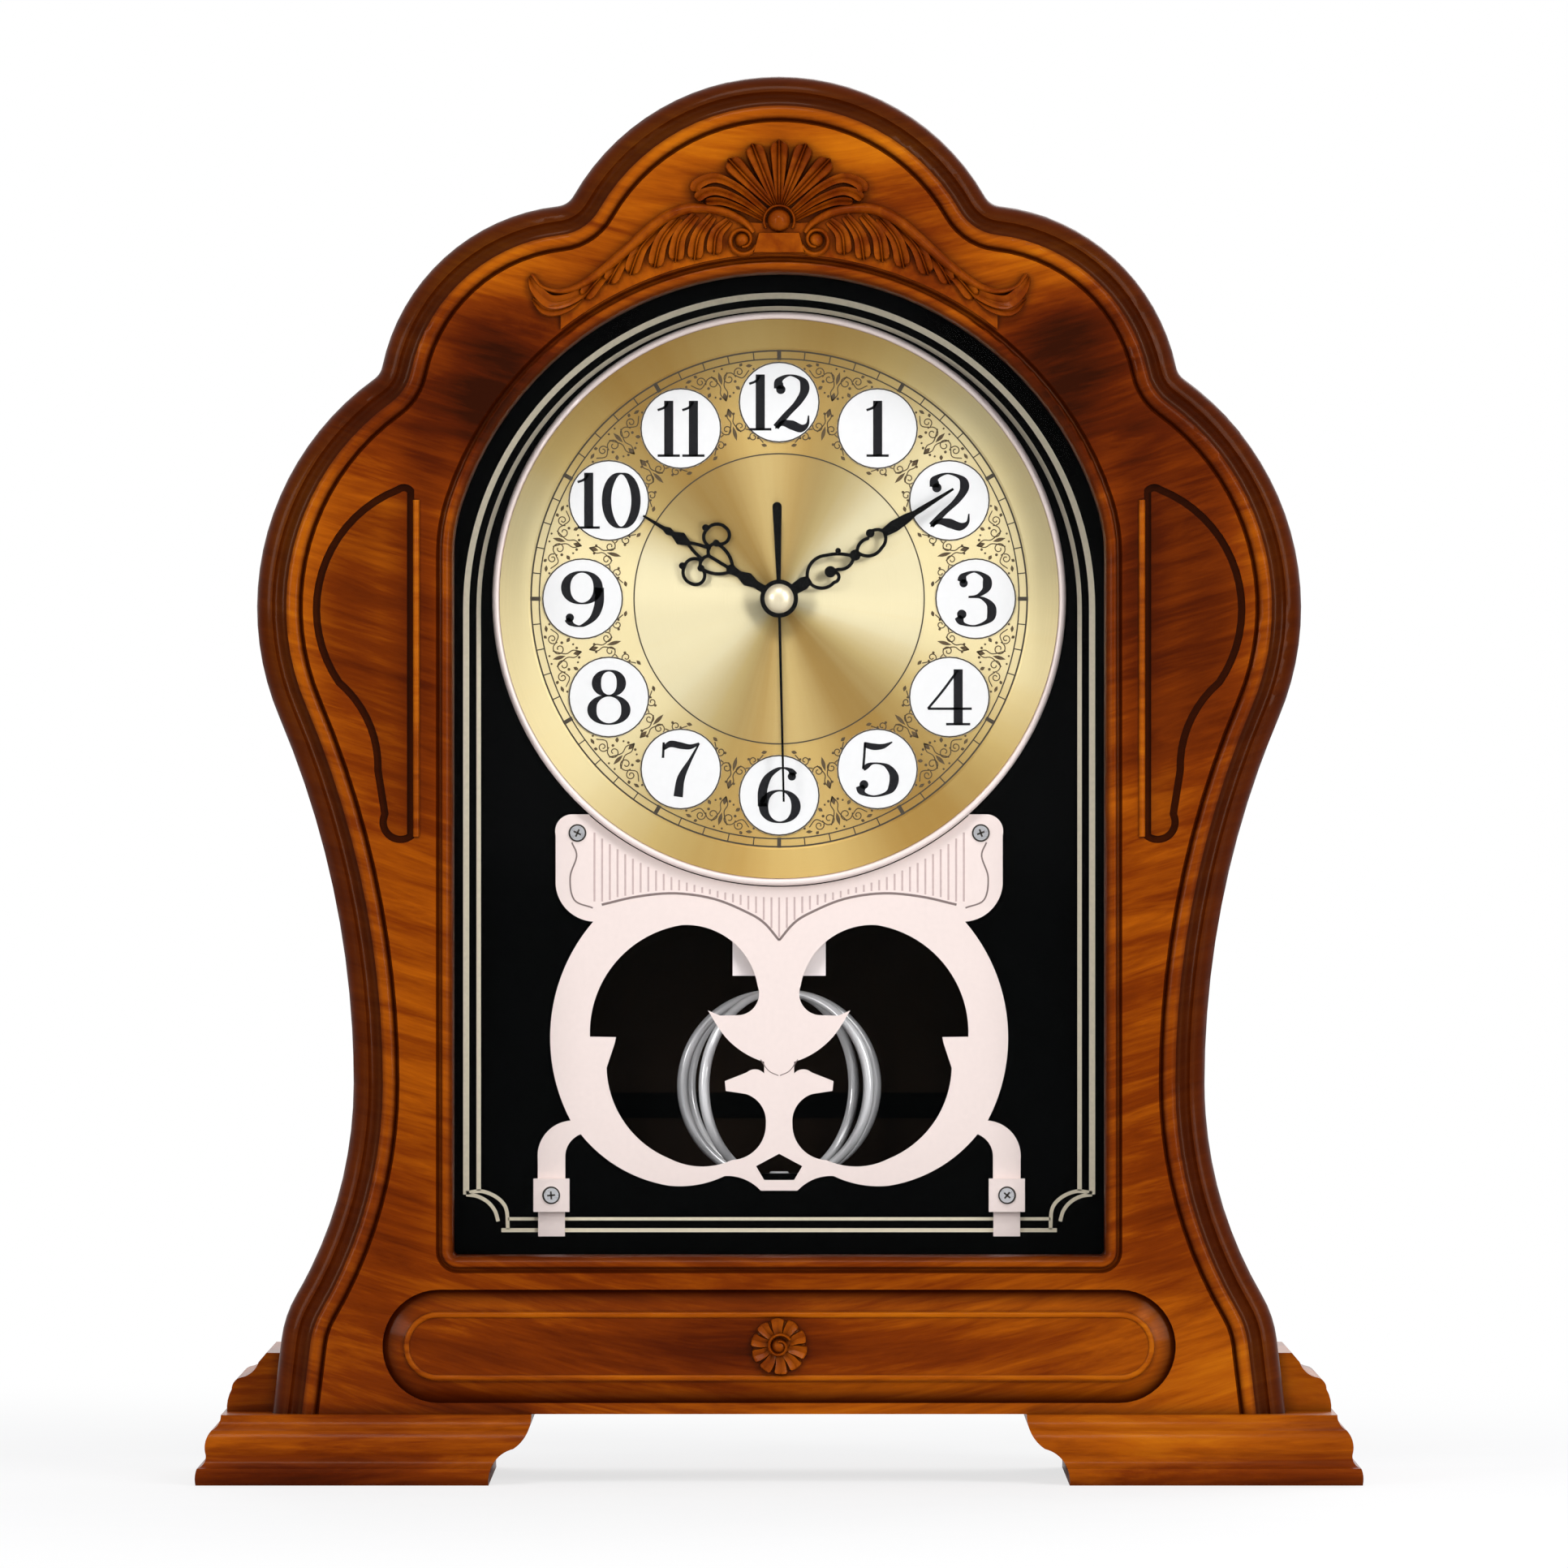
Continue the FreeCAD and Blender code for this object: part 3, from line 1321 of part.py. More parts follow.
def hand_shape(faces, bore, angle, front):
    """A flat hand with a round hub, turned to its clock angle and placed on the dial's axis."""
    def thick(face):
        return upright(face).extrude(Vector(0, float(s.hand_thickness), 0))
    hub = Part.Face(Part.Wire(Part.makeCircle(s.hand_hub_radius, Vector(), Vector(0, 0, 1))))
    hole = Part.Face(Part.Wire(Part.makeCircle(bore, Vector(), Vector(0, 0, 1))))
    shape = thick(hub).multiFuse([thick(face) for face in faces]).removeSplitter().cut(thick(hole))
    shape.rotate(Vector(), Vector(0, 1, 0), float(angle))
    shape.translate(Vector(0, float(front), float(s.dial_up)))
    return shape


def scroll_faces(strokes, spots, blades, length, both_sides):
    faces = [blade(shares, length) for shares in blades]
    for side in ((1, -1) if both_sides else (1,)):
        for shares in strokes:
            faces += [mirrored(face, side) for face in stroke(shares, length, s.hand_line)]
        faces += [mirrored(spot(share, length), side) for share in spots]
    return faces


def mirrored(face, side):
    return face if side > 0 else face.mirror(Vector(), Vector(1, 0, 0))


hour_hand_front = dial_front - s.hand_gap - s.hand_thickness
minute_hand_front = hour_hand_front - s.hand_gap - s.hand_thickness
second_hand_front = minute_hand_front - s.hand_gap - s.hand_thickness


NEEDLE_TIP_SHARE = 0.7
CAP_DOME_SHARES = (0.6, 0.24)


def make_hands():
    """Two scrolled hands, a needle with a heavy tail, and the domed cap over their middle."""
    hour = scroll_faces(HOUR_STROKE_SHARES, HOUR_SPOT_SHARES, (HOUR_BLADE_SHARES, HOUR_TIP_SHARES),
                        s.hour_hand_length, True)
    blades = (MINUTE_BLADE_SHARES, MINUTE_TIP_SHARES)
    minute = scroll_faces(MINUTE_STROKE_SHARES, MINUTE_SPOT_SHARES, blades, s.minute_hand_length, False)
    needle = s.second_needle_half
    point = needle * NEEDLE_TIP_SHARE
    tail = s.second_tail_half
    outline = [(needle, 0), (point, s.second_hand_length), (-point, s.second_hand_length),
               (-needle, 0), (-tail, tail - s.second_tail_length), (tail, tail - s.second_tail_length)]
    second = [face_of(loop(*outline)), Part.Face(Part.Wire(Part.makeCircle(
        tail, flat((0, tail - s.second_tail_length)), Vector(0, 0, 1))))]
    keep(formed("HourHand", hand_shape(hour, s.hour_tube_radius, s.hour_hand_angle, hour_hand_front)),
         "hour_hand")
    keep(formed("MinuteHand", hand_shape(minute, s.minute_tube_radius, s.minute_hand_angle,
                                         minute_hand_front)), "minute_hand")
    keep(formed("SecondHand", hand_shape(second, s.second_arbor_radius, s.second_hand_angle,
                                         second_hand_front)), "second_hand")
    crest = second_hand_front - s.hand_cap_height
    out, down = CAP_DOME_SHARES
    curves = trace((0, second_hand_front), (0, crest),
                   ((s.hand_cap_radius * out, crest + s.hand_cap_height * down),
                    (s.hand_cap_radius, second_hand_front)), (0, second_hand_front))
    keep(turned("HandCap", curves, s.dial_up), "hand_cap")


# Quartz movement: gears in six layers behind the front of the movement's case

movement_back = dial_board_back + s.movement_depth
movement_low = s.dial_up - s.movement_half
movement_high = s.dial_up + s.movement_half
movement_inner_front = dial_board_back + s.movement_wall
movement_inner_back = movement_back - s.movement_wall
battery_back = movement_inner_front + s.battery_radius + s.fit / 2
divider_low = movement_low + s.movement_wall + 2 * s.battery_radius + s.fit
divider_high = divider_low + s.movement_wall
bay_half = s.movement_half - s.movement_wall
bush_front = dial_back + s.fit
washer_front = dial_board_front - s.washer_thickness
nut_front = washer_front - s.nut_thickness

centre_axis = (0.0, s.dial_up)
motion_axis = polar(centre_axis, s.motion_reach, math.radians(s.motion_angle))
third_axis = polar(centre_axis, s.third_reach, math.radians(s.third_angle))
fifth_axis = polar(centre_axis, s.fifth_reach, math.radians(s.fifth_angle))
rotor_axis = polar(fifth_axis, s.rotor_reach, math.radians(s.rotor_angle))
motion_module = s.motion_reach * 2 / (s.motion_wheel_teeth + s.cannon_teeth)
setting_reach = motion_module * (s.motion_wheel_teeth + s.setting_teeth) / 2
setting_axis = polar(motion_axis, setting_reach, math.radians(s.setting_angle))


def layer(number):
    """Front of a layer of gears, counted from the front of the movement."""
    return movement_inner_front + s.gear_gap + number * (s.gear_thickness + s.gear_gap)


TOOTH_TIP_SHARE = 0.85
TOOTH_ROOT_SHARE = 1.1
TOOTH_TIP_WIDTH_SHARE = 0.2
TOOTH_ROOT_WIDTH_SHARE = 0.46


def gear(teeth, mate_teeth, reach, axis, number, phase):
    """A spur gear that fills one layer, sized to mesh with its mate at a reach between axes."""
    module = 2 * reach / (teeth + mate_teeth)
    pitch_radius = module * teeth / 2
    step = 2 * math.pi / teeth
    points = []
    for tooth in range(int(teeth)):
        middle = phase + tooth * step
        for offset, share in ((-TOOTH_ROOT_WIDTH_SHARE, -TOOTH_ROOT_SHARE),
                              (-TOOTH_TIP_WIDTH_SHARE, TOOTH_TIP_SHARE),
                              (TOOTH_TIP_WIDTH_SHARE, TOOTH_TIP_SHARE),
                              (TOOTH_ROOT_WIDTH_SHARE, -TOOTH_ROOT_SHARE)):
            points.append(flat(polar(axis, pitch_radius + share * module, middle + offset * step / 2)))
    face = upright(Part.Face(Part.makePolygon(points + points[:1])))
    face.translate(Vector(0, float(layer(number)), 0))
    return face.extrude(Vector(0, float(s.gear_thickness), 0))


def rod_shape(radius, axis, front, back):
    """A round rod from front to back on an axis of the movement."""
    start = Vector(float(axis[0]), float(front), float(axis[1]))
    return Part.makeCylinder(float(radius), float(back - front), start, Vector(0, 1, 0))


def meshed(phase, teeth, direction, mate_teeth):
    """Phase of a mate whose gap meets a tooth of the first gear, in a direction from it."""
    slip = phase - direction
    return direction + math.pi + math.pi / mate_teeth - slip * teeth / mate_teeth


def joined(*shapes):
    return shapes[0].multiFuse(list(shapes[1:])).removeSplitter()


def make_gears():
    """The train from the rotor to the hands, each wheel with its pinion and arbor."""
    motion_way = math.radians(s.motion_angle)
    third_way = math.radians(s.third_angle)
    fifth_way = math.radians(s.fifth_angle)
    rotor_way = math.radians(s.rotor_angle)
    setting_way = math.radians(s.setting_angle)
    front_pivot = movement_inner_front - s.pivot_depth
    back_pivot = movement_inner_back + s.pivot_depth
    minute_bore = s.second_arbor_radius + s.running_fit
    hour_bore = s.minute_tube_radius + s.running_fit

    cannon_phase = motion_way
    motion_phase = meshed(cannon_phase, s.cannon_teeth, motion_way, s.motion_wheel_teeth)
    pinion_phase = motion_way + math.pi
    hour_phase = meshed(pinion_phase, s.motion_pinion_teeth, motion_way + math.pi, s.hour_wheel_teeth)
    setting_phase = meshed(motion_phase, s.motion_wheel_teeth, setting_way, s.setting_teeth)
    third_pinion_phase = meshed(third_way, s.centre_wheel_teeth, third_way, s.third_pinion_teeth)
    third_phase = meshed(third_way, s.second_pinion_teeth, third_way, s.third_wheel_teeth)
    fifth_pinion_phase = meshed(fifth_way, s.second_wheel_teeth, fifth_way, s.fifth_pinion_teeth)
    rotor_phase = meshed(rotor_way, s.fifth_wheel_teeth, rotor_way, s.rotor_pinion_teeth)
    knob_front = movement_back + s.gear_gap

    hour_wheel = joined(
        gear(s.hour_wheel_teeth, s.motion_pinion_teeth, s.motion_reach, centre_axis, 0, hour_phase),
        rod_shape(s.hour_tube_radius, centre_axis, hour_hand_front, layer(0) + s.gear_thickness))
    hour_wheel = hour_wheel.cut(rod_shape(hour_bore, centre_axis, hour_hand_front - s.overrun, layer(1)))
    centre_wheel = joined(
        gear(s.centre_wheel_teeth, s.third_pinion_teeth, s.third_reach, centre_axis, 2, third_way),
        gear(s.cannon_teeth, s.motion_wheel_teeth, s.motion_reach, centre_axis, 1, cannon_phase),
        rod_shape(s.minute_tube_radius, centre_axis, minute_hand_front, layer(2) + s.gear_thickness))
    centre_wheel = centre_wheel.cut(
        rod_shape(minute_bore, centre_axis, minute_hand_front - s.overrun, layer(3)))
    motion_wheel = joined(
        gear(s.motion_wheel_teeth, s.cannon_teeth, s.motion_reach, motion_axis, 1, motion_phase),
        gear(s.motion_pinion_teeth, s.hour_wheel_teeth, s.motion_reach, motion_axis, 0, pinion_phase),
        rod_shape(s.arbor_radius * 2, motion_axis, layer(0), layer(2) - s.gear_gap))
    motion_wheel = motion_wheel.cut(rod_shape(s.arbor_radius + s.running_fit, motion_axis,
                                              layer(0) - s.overrun, layer(2)))
    third_wheel = joined(
        gear(s.third_wheel_teeth, s.second_pinion_teeth, s.third_reach, third_axis, 3, third_phase),
        gear(s.third_pinion_teeth, s.centre_wheel_teeth, s.third_reach, third_axis, 2, third_pinion_phase),
        rod_shape(s.arbor_radius, third_axis, front_pivot, back_pivot))
    second_wheel = joined(
        gear(s.second_wheel_teeth, s.fifth_pinion_teeth, s.fifth_reach, centre_axis, 4, fifth_way),
        gear(s.second_pinion_teeth, s.third_wheel_teeth, s.third_reach, centre_axis, 3, third_way),
        rod_shape(s.second_arbor_radius, centre_axis, second_hand_front, back_pivot))
    fifth_wheel = joined(
        gear(s.fifth_wheel_teeth, s.rotor_pinion_teeth, s.rotor_reach, fifth_axis, 5, rotor_way),
        gear(s.fifth_pinion_teeth, s.second_wheel_teeth, s.fifth_reach, fifth_axis, 4, fifth_pinion_phase),
        rod_shape(s.arbor_radius, fifth_axis, front_pivot, back_pivot))
    magnet_front = layer(6)
    rotor = joined(
        gear(s.rotor_pinion_teeth, s.fifth_wheel_teeth, s.rotor_reach, rotor_axis, 5, rotor_phase),
        rod_shape(s.rotor_magnet_radius, rotor_axis, magnet_front, magnet_front + s.rotor_magnet_length),
        rod_shape(s.arbor_radius, rotor_axis, front_pivot, back_pivot))
    setting_knob = joined(
        gear(s.setting_teeth, s.motion_wheel_teeth, setting_reach, setting_axis, 1, setting_phase),
        rod_shape(s.arbor_radius * 2, setting_axis, layer(1), knob_front),
        rod_shape(s.arbor_radius, setting_axis, front_pivot, layer(1)),
        rod_shape(s.setting_knob_radius, setting_axis, knob_front, knob_front + s.setting_knob_thickness))
    for label, shape in (("hour_wheel", hour_wheel), ("centre_wheel", centre_wheel),
                         ("motion_wheel", motion_wheel), ("third_wheel", third_wheel),
                         ("second_wheel", second_wheel), ("fifth_wheel", fifth_wheel),
                         ("stepper_rotor", rotor), ("setting_knob", setting_knob)):
        keep(formed(label.title().replace("_", ""), shape), label)


def battery_bay(name, low, high):
    """The cavity for one round battery, open at the back."""
    return block(name, (-bay_half, movement_inner_front, low), (bay_half, movement_back + s.overrun, high))


def make_movement_case():
    """A moulded case open at the back, with a threaded bush in front and pivot holes for the arbors."""
    shell = block("MovementShell", (-s.movement_half, dial_board_back, movement_low),
                  (s.movement_half, movement_back, movement_high))
    bush = rod("MovementBush", s.bush_radius, dial_board_back - bush_front, (0, bush_front, s.dial_up))
    stud = rod("MotionStud", s.arbor_radius, layer(2) - s.gear_gap - movement_inner_front,
               (motion_axis[0], movement_inner_front, motion_axis[1]))
    bays = [battery_bay("BatteryBay", movement_low + s.movement_wall, divider_low),
            battery_bay("GearBay", divider_high, movement_high - s.movement_wall)]
    bore_length = movement_inner_front - bush_front + s.overrun * 2
    holes = [rod("BushBore", s.hour_tube_radius + s.running_fit, bore_length,
                 (0, bush_front - s.overrun, s.dial_up))]
    pivot_front = movement_inner_front - s.pivot_depth - s.running_fit
    for name, axis in (("Third", third_axis), ("Fifth", fifth_axis), ("Rotor", rotor_axis),
                       ("Setting", setting_axis)):
        holes.append(rod(name + "FrontPivot", s.arbor_radius + s.running_fit,
                         movement_inner_front - pivot_front + s.overrun, (axis[0], pivot_front, axis[1])))
    hollow = cut("MovementHollow", fuse("MovementBlank", shell, bush), *bays, *holes)
    return keep(fuse("MovementCase", hollow, stud), "movement_case")


def make_movement_cover():
    """The lid over the gears, with pivot holes and a hole for the setting arbor."""
    lid = block("CoverBlank", (s.fit - bay_half, movement_inner_back, divider_high + s.fit),
                (bay_half - s.fit, movement_back, movement_high - s.movement_wall - s.fit))
    holes = []
    depth = s.pivot_depth + s.running_fit + s.overrun
    hole_front = movement_inner_back - s.overrun
    for name, axis, radius in (("Third", third_axis, s.arbor_radius), ("Fifth", fifth_axis, s.arbor_radius),
                               ("Rotor", rotor_axis, s.arbor_radius),
                               ("Second", centre_axis, s.second_arbor_radius)):
        holes.append(rod(name + "BackPivot", radius + s.running_fit, depth, (axis[0], hole_front, axis[1])))
    holes.append(rod("SettingHole", s.arbor_radius * 2 + s.running_fit, s.movement_wall + s.overrun * 2,
                     (setting_axis[0], hole_front, setting_axis[1])))
    return keep(cut("MovementCover", lid, *holes), "movement_cover")


NUT_SIDES = 6


def make_fixing():
    """The washer and six-sided nut that clamp the movement to the dial board."""
    disc = rod("WasherBlank", s.washer_radius, s.washer_thickness, (0, washer_front, s.dial_up))
    hole = rod("WasherHole", s.bush_radius, s.dial_rise, (0, nut_front, s.dial_up))
    keep(cut("CentreWasher", disc, hole), "centre_washer")
    corners = [polar((0, s.dial_up), s.nut_radius, 2 * math.pi * number / NUT_SIDES)
               for number in range(NUT_SIDES)]
    nut = cut("CentreNut", plate("NutBlank", loop(*corners), nut_front, washer_front),
              rod("NutHole", s.bush_radius, s.dial_rise, (0, nut_front - s.overrun / 2, s.dial_up)))
    keep(nut, "centre_nut")


coil_up = movement_high - s.movement_wall - s.coil_radius - s.fit
stator_front = layer(6) + s.rotor_magnet_length / 2 - s.stator_thickness / 2
coil_left = rotor_axis[0] - s.stator_width / 2 - s.coil_length - s.fit


def make_motor():
    """The stator plate round the rotor, its coil, and the circuit board with its crystal."""
    left = rotor_axis[0] - s.stator_width / 2
    low = rotor_axis[1] - s.stator_width / 2
    pole = block("StatorPole", (left, stator_front, low),
                 (left + s.stator_width, stator_front + s.stator_thickness, coil_up + s.coil_core / 2))
    core = block("StatorCore", (coil_left - s.coil_core, stator_front, coil_up - s.coil_core / 2),
                 (left + s.stator_width, stator_front + s.stator_thickness, coil_up + s.coil_core / 2))
    hole = rod("StatorHole", s.rotor_magnet_radius + s.fit, s.rotor_magnet_length,
               (rotor_axis[0], layer(6), rotor_axis[1]))
    keep(cut("Stator", fuse("StatorBlank", pole, core), hole), "stator")
    winding = rod("CoilBlank", s.coil_radius, s.coil_length,
                  (coil_left, stator_front + s.stator_thickness / 2, coil_up), "x")
    coil_right = coil_left + s.coil_length
    slot = block("CoilSlot", (coil_left - s.overrun, stator_front, coil_up - s.coil_core / 2),
                 (coil_right + s.overrun, stator_front + s.stator_thickness, coil_up + s.coil_core / 2))
    keep(cut("MotorCoil", winding, slot), "motor_coil")
    board_left = s.fit - bay_half
    board_high = coil_up - s.coil_radius - s.fit
    board_front_face = movement_inner_back - s.circuit_thickness
    board_low = board_high - s.circuit_height
    board = block("CircuitBoard", (board_left, board_front_face, board_low),
                  (board_left + s.circuit_width, movement_inner_back, board_high))
    keep(board, "circuit_board")
    crystal = rod("Crystal", s.crystal_radius, s.crystal_length,
                  (board_left + s.circuit_width / 2, board_front_face - s.crystal_radius - s.running_fit,
                   board_low + s.crystal_length), "z")
    keep(crystal, "quartz_crystal")


CONTACT_SHARE = 0.7


def battery(name, up):
    """A round battery lying across, with its positive nub to the right."""
    left = -s.battery_length / 2 - s.battery_nub / 2
    can = rod(name + "Can", s.battery_radius, s.battery_length, (left, battery_back, up), "x")
    right = left + s.battery_length
    nub = rod(name + "Nub", s.battery_nub_radius, s.battery_nub, (right, battery_back, up), "x")
    return fuse(name, can, nub)


def contacts(name, up):
    """A sprung plate at each end of a battery."""
    end = (s.battery_length + s.battery_nub) / 2
    pieces = []
    for side, hand in ((1, "Plus"), (-1, "Minus")):
        low, high = sorted((side * (bay_half - s.contact_thickness), side * bay_half))
        half = s.battery_radius * CONTACT_SHARE
        sheet_metal = block(name + hand + "Plate", (low, battery_back - half, up - half),
                            (high, battery_back + half, up + half))
        low, high = sorted((side * end, side * (bay_half - s.contact_thickness)))
        button = rod(name + hand + "Button", s.battery_nub_radius, high - low, (low, battery_back, up), "x")
        pieces.append(fuse(name + hand, sheet_metal, button))
    return pieces


# Pendulum and its drive unit, on an upright axis behind the dial board

drive_front = dial_board_back
drive_back = dial_board_back + s.movement_depth
drive_box_top = s.drive_box_bottom + s.drive_box_height
well_floor = s.drive_neck_bottom + s.drive_floor
bay_middle = drive_box_top - s.movement_wall - s.battery_radius - s.fit / 2
movement_battery_up = movement_low + s.movement_wall + s.battery_radius + s.fit / 2


def upright_rod(name, radius, low, high):
    return rod(name, radius, high - low, (0, s.pendulum_back, low), "z")


# Places of the drive unit's screws, as shares of its half width and of its height
DRIVE_SCREW_SHARES = (0.7, 0.25)


def make_drive_screws():
    """Two screws through the drive unit into the dial board."""
    out, rise = DRIVE_SCREW_SHARES
    up = s.drive_box_bottom + s.drive_box_height * rise
    tip_front = dial_board_front + s.fit
    screws = []
    for side, hand in ((1, "Right"), (-1, "Left")):
        tip = (side * s.movement_half * out, tip_front, up)
        screws.append(screw("DriveScrew" + hand, tip, s.screw_radius, drive_back - tip_front,
                            s.screw_head_radius, s.screw_head, "y", 1, False))
    return screws


def make_drive(screws):
    """A plastic unit with a battery above and a round well below for the coil and magnet."""
    box = block("DriveBox", (-s.movement_half, drive_front, s.drive_box_bottom),
                (s.movement_half, drive_back, drive_box_top))
    neck = block("DriveNeck", (-s.drive_neck_half, drive_front, s.drive_neck_bottom),
                 (s.drive_neck_half, s.pendulum_back + s.drive_neck_half, s.drive_box_bottom))
    bay_rise = s.battery_radius + s.fit / 2
    bay = battery_bay("DriveBay", bay_middle - bay_rise, bay_middle + bay_rise)
    well = upright_rod("DriveWell", s.drive_well_radius, well_floor, s.drive_box_bottom + s.overrun)
    hole = upright_rod("DriveBushHole", s.pendulum_bush_radius, s.drive_neck_bottom - s.overrun,
                       well_floor + s.overrun)
    keep(cut("DriveHousing", fuse("DriveBlank", box, neck), bay, well, hole, *screws), "drive_housing")
    lid = upright_rod("DriveLid", s.drive_well_radius - s.running_fit,
                      s.drive_box_bottom - s.drive_lid_thickness, s.drive_box_bottom)
    keep(lid, "drive_lid")
    flange_top = well_floor + s.pendulum_bush_flange_thickness
    bush = fuse("BushBlank",
                upright_rod("BushBody", s.pendulum_bush_radius, s.drive_neck_bottom, well_floor),
                upright_rod("BushFlange", s.pendulum_bush_flange, well_floor, flange_top))
    bore = upright_rod("BushBoreUpright", s.axle_radius + s.running_fit, s.drive_neck_bottom - s.overrun,
                       well_floor + s.overrun)
    keep(cut("PendulumBush", bush, bore), "pendulum_bush")
    coil_top = well_floor + s.drive_coil_height
    coil = cut("DriveCoil", upright_rod("DriveCoilBlank", s.drive_coil_radius, well_floor, coil_top),
               upright_rod("DriveCoilHole", s.pendulum_bush_flange + s.fit, well_floor - s.overrun,
                           coil_top + s.overrun))
    keep(coil, "drive_coil")


# Profiles of the pendulum's two hubs, as shares of the radius and height of the upper one
TOP_HUB_SHARES = ((0.0, -0.5), (0.6, -0.5), ((1.05, -0.2), (1.0, 0.25)),
                  (0.6, 0.5), (0.0, 0.5), (0.0, -0.5))
LOW_HUB_SHARES = ((0.0, -0.5), ((0.5, -0.4), (0.75, -0.2)), (1.0, 0.0),
                  (0.6, 0.5), (0.0, 0.5), (0.0, -0.5))
STRAND_START_SHARE = 0.75


def hub(name, shares, middle):
    """A small turned hub of the pendulum at a height."""
    steps = share_steps(shares, s.top_hub_radius, s.top_hub_height)
    lifted = []
    for step in steps:
        points = step if isinstance(step[0], tuple) else (step,)
        moved = tuple((out, middle + up) for out, up in points)
        lifted.append(moved if len(moved) > 1 else moved[0])
    return spindle(name, trace(lifted[0], *lifted[1:]))


def pendulum_strand(turn):
    """One bowed bar, thin at both ends, turned about the upright axis."""
    middle = (s.pendulum_top + s.pendulum_bottom) / 2
    rise = s.pendulum_top - middle
    start = s.top_hub_radius * STRAND_START_SHARE
    offset = (s.pendulum_radius ** 2 - start ** 2 - rise ** 2) / (2 * (s.pendulum_radius - start))
    bow = s.pendulum_radius - offset
    centre = (offset, middle)
    top, widest, low = (start, s.pendulum_top), (s.pendulum_radius, middle), (start, s.pendulum_bottom)
    path = trace(top, (between(centre, bow, top, widest), widest), (between(centre, bow, widest, low), low))
    spine = upright(Part.Wire([curve.toShape() for curve in path]))
    upper, lower = spine.Edges
    sections = []
    for edge, at, radius in ((upper, upper.FirstParameter, s.strand_end_radius),
                             (upper, upper.LastParameter, s.strand_radius),
                             (lower, lower.LastParameter, s.strand_end_radius)):
        sections.append(Part.Wire(Part.makeCircle(radius, edge.valueAt(at), edge.tangentAt(at))))
    strand = spine.makePipeShell(sections, True, False)
    axis = Vector(0, float(s.pendulum_back), 0)
    strand.translate(axis)
    strand.rotate(axis, Vector(0, 0, 1), float(turn))
    return strand


def make_pendulum():
    """Six bowed bars between two small hubs, hung from an axle with a magnet on top."""
    collar_low = well_floor + s.pendulum_bush_flange_thickness + s.fit
    collar_high = collar_low + s.collar_thickness
    magnet_low = well_floor + s.drive_coil_height + s.fit * 2
    hub_high = s.pendulum_top + s.top_hub_height / 2
    axle = spindle("PendulumAxle", loop(
        (0, hub_high), (s.axle_radius, hub_high), (s.axle_radius, collar_low),
        (s.collar_radius, collar_low), (s.collar_radius, collar_high), (s.axle_radius, collar_high),
        (s.axle_radius, s.axle_top), (0, s.axle_top)))
    keep(axle, "pendulum_axle")
    magnet = cut("PendulumMagnet",
                 upright_rod("MagnetBlank", s.magnet_radius, magnet_low, magnet_low + s.magnet_thickness),
                 upright_rod("MagnetHole", s.axle_radius, magnet_low - s.overrun, s.axle_top + s.overrun))
    keep(magnet, "pendulum_magnet")
    top_hub = hub("TopHub", TOP_HUB_SHARES, s.pendulum_top)
    low_hub = hub("LowHub", LOW_HUB_SHARES, s.pendulum_bottom)
    keep(group("PendulumHubs", top_hub, low_hub), "pendulum_hubs")
    doc.recompute()
    hubs = top_hub.Shape.fuse(low_hub.Shape)
    strands = []
    for side in (0, 180):
        for spread in (-s.strand_spread, 0, s.strand_spread):
            strands.append(pendulum_strand(s.pendulum_rest + side + spread).cut(hubs))
    keep(formed("PendulumStrands", Part.makeCompound(strands)), "pendulum_strands")


# Back panel, its door on two hinges, a turn button and the screws

door_top = s.door_bottom + s.door_height
hinge_axis = (-s.door_half, panel_back + s.hinge_radius + s.hinge_lift)
KNUCKLES = 3
knuckle_height = s.hinge_height / KNUCKLES
# Places of the back panel's screws: heights on the sides and angles on the arch
PANEL_SCREW_RISE_SHARES = (0.1, 0.5, 0.9)
PANEL_SCREW_ANGLES = (35, 68)
PANEL_SCREW_SHARE = 0.8


def panel_screw_places():
    """Places of the back panel's screws, over the rebate of the sides and arch."""
    out = case_inner_half + s.rebate_width / 2
    height = s.arch_up - base_board_top
    places = [(out, base_board_top + height * rise) for rise in PANEL_SCREW_RISE_SHARES]
    places += [polar((0, s.arch_up), out, math.radians(angle)) for angle in PANEL_SCREW_ANGLES]
    return places + [mirror(place) for place in places]


def make_panel_screws():
    """Countersunk screws smaller than the dial board's, by one share all round."""
    radius, head_radius, head, length = [size * PANEL_SCREW_SHARE for size in (
        s.screw_radius, s.screw_head_radius, s.screw_head, s.screw_length)]
    return [screw("PanelScrew%d" % number, (across, panel_back - length, up), radius, length - head,
                  head_radius, head) for number, (across, up) in enumerate(panel_screw_places())]


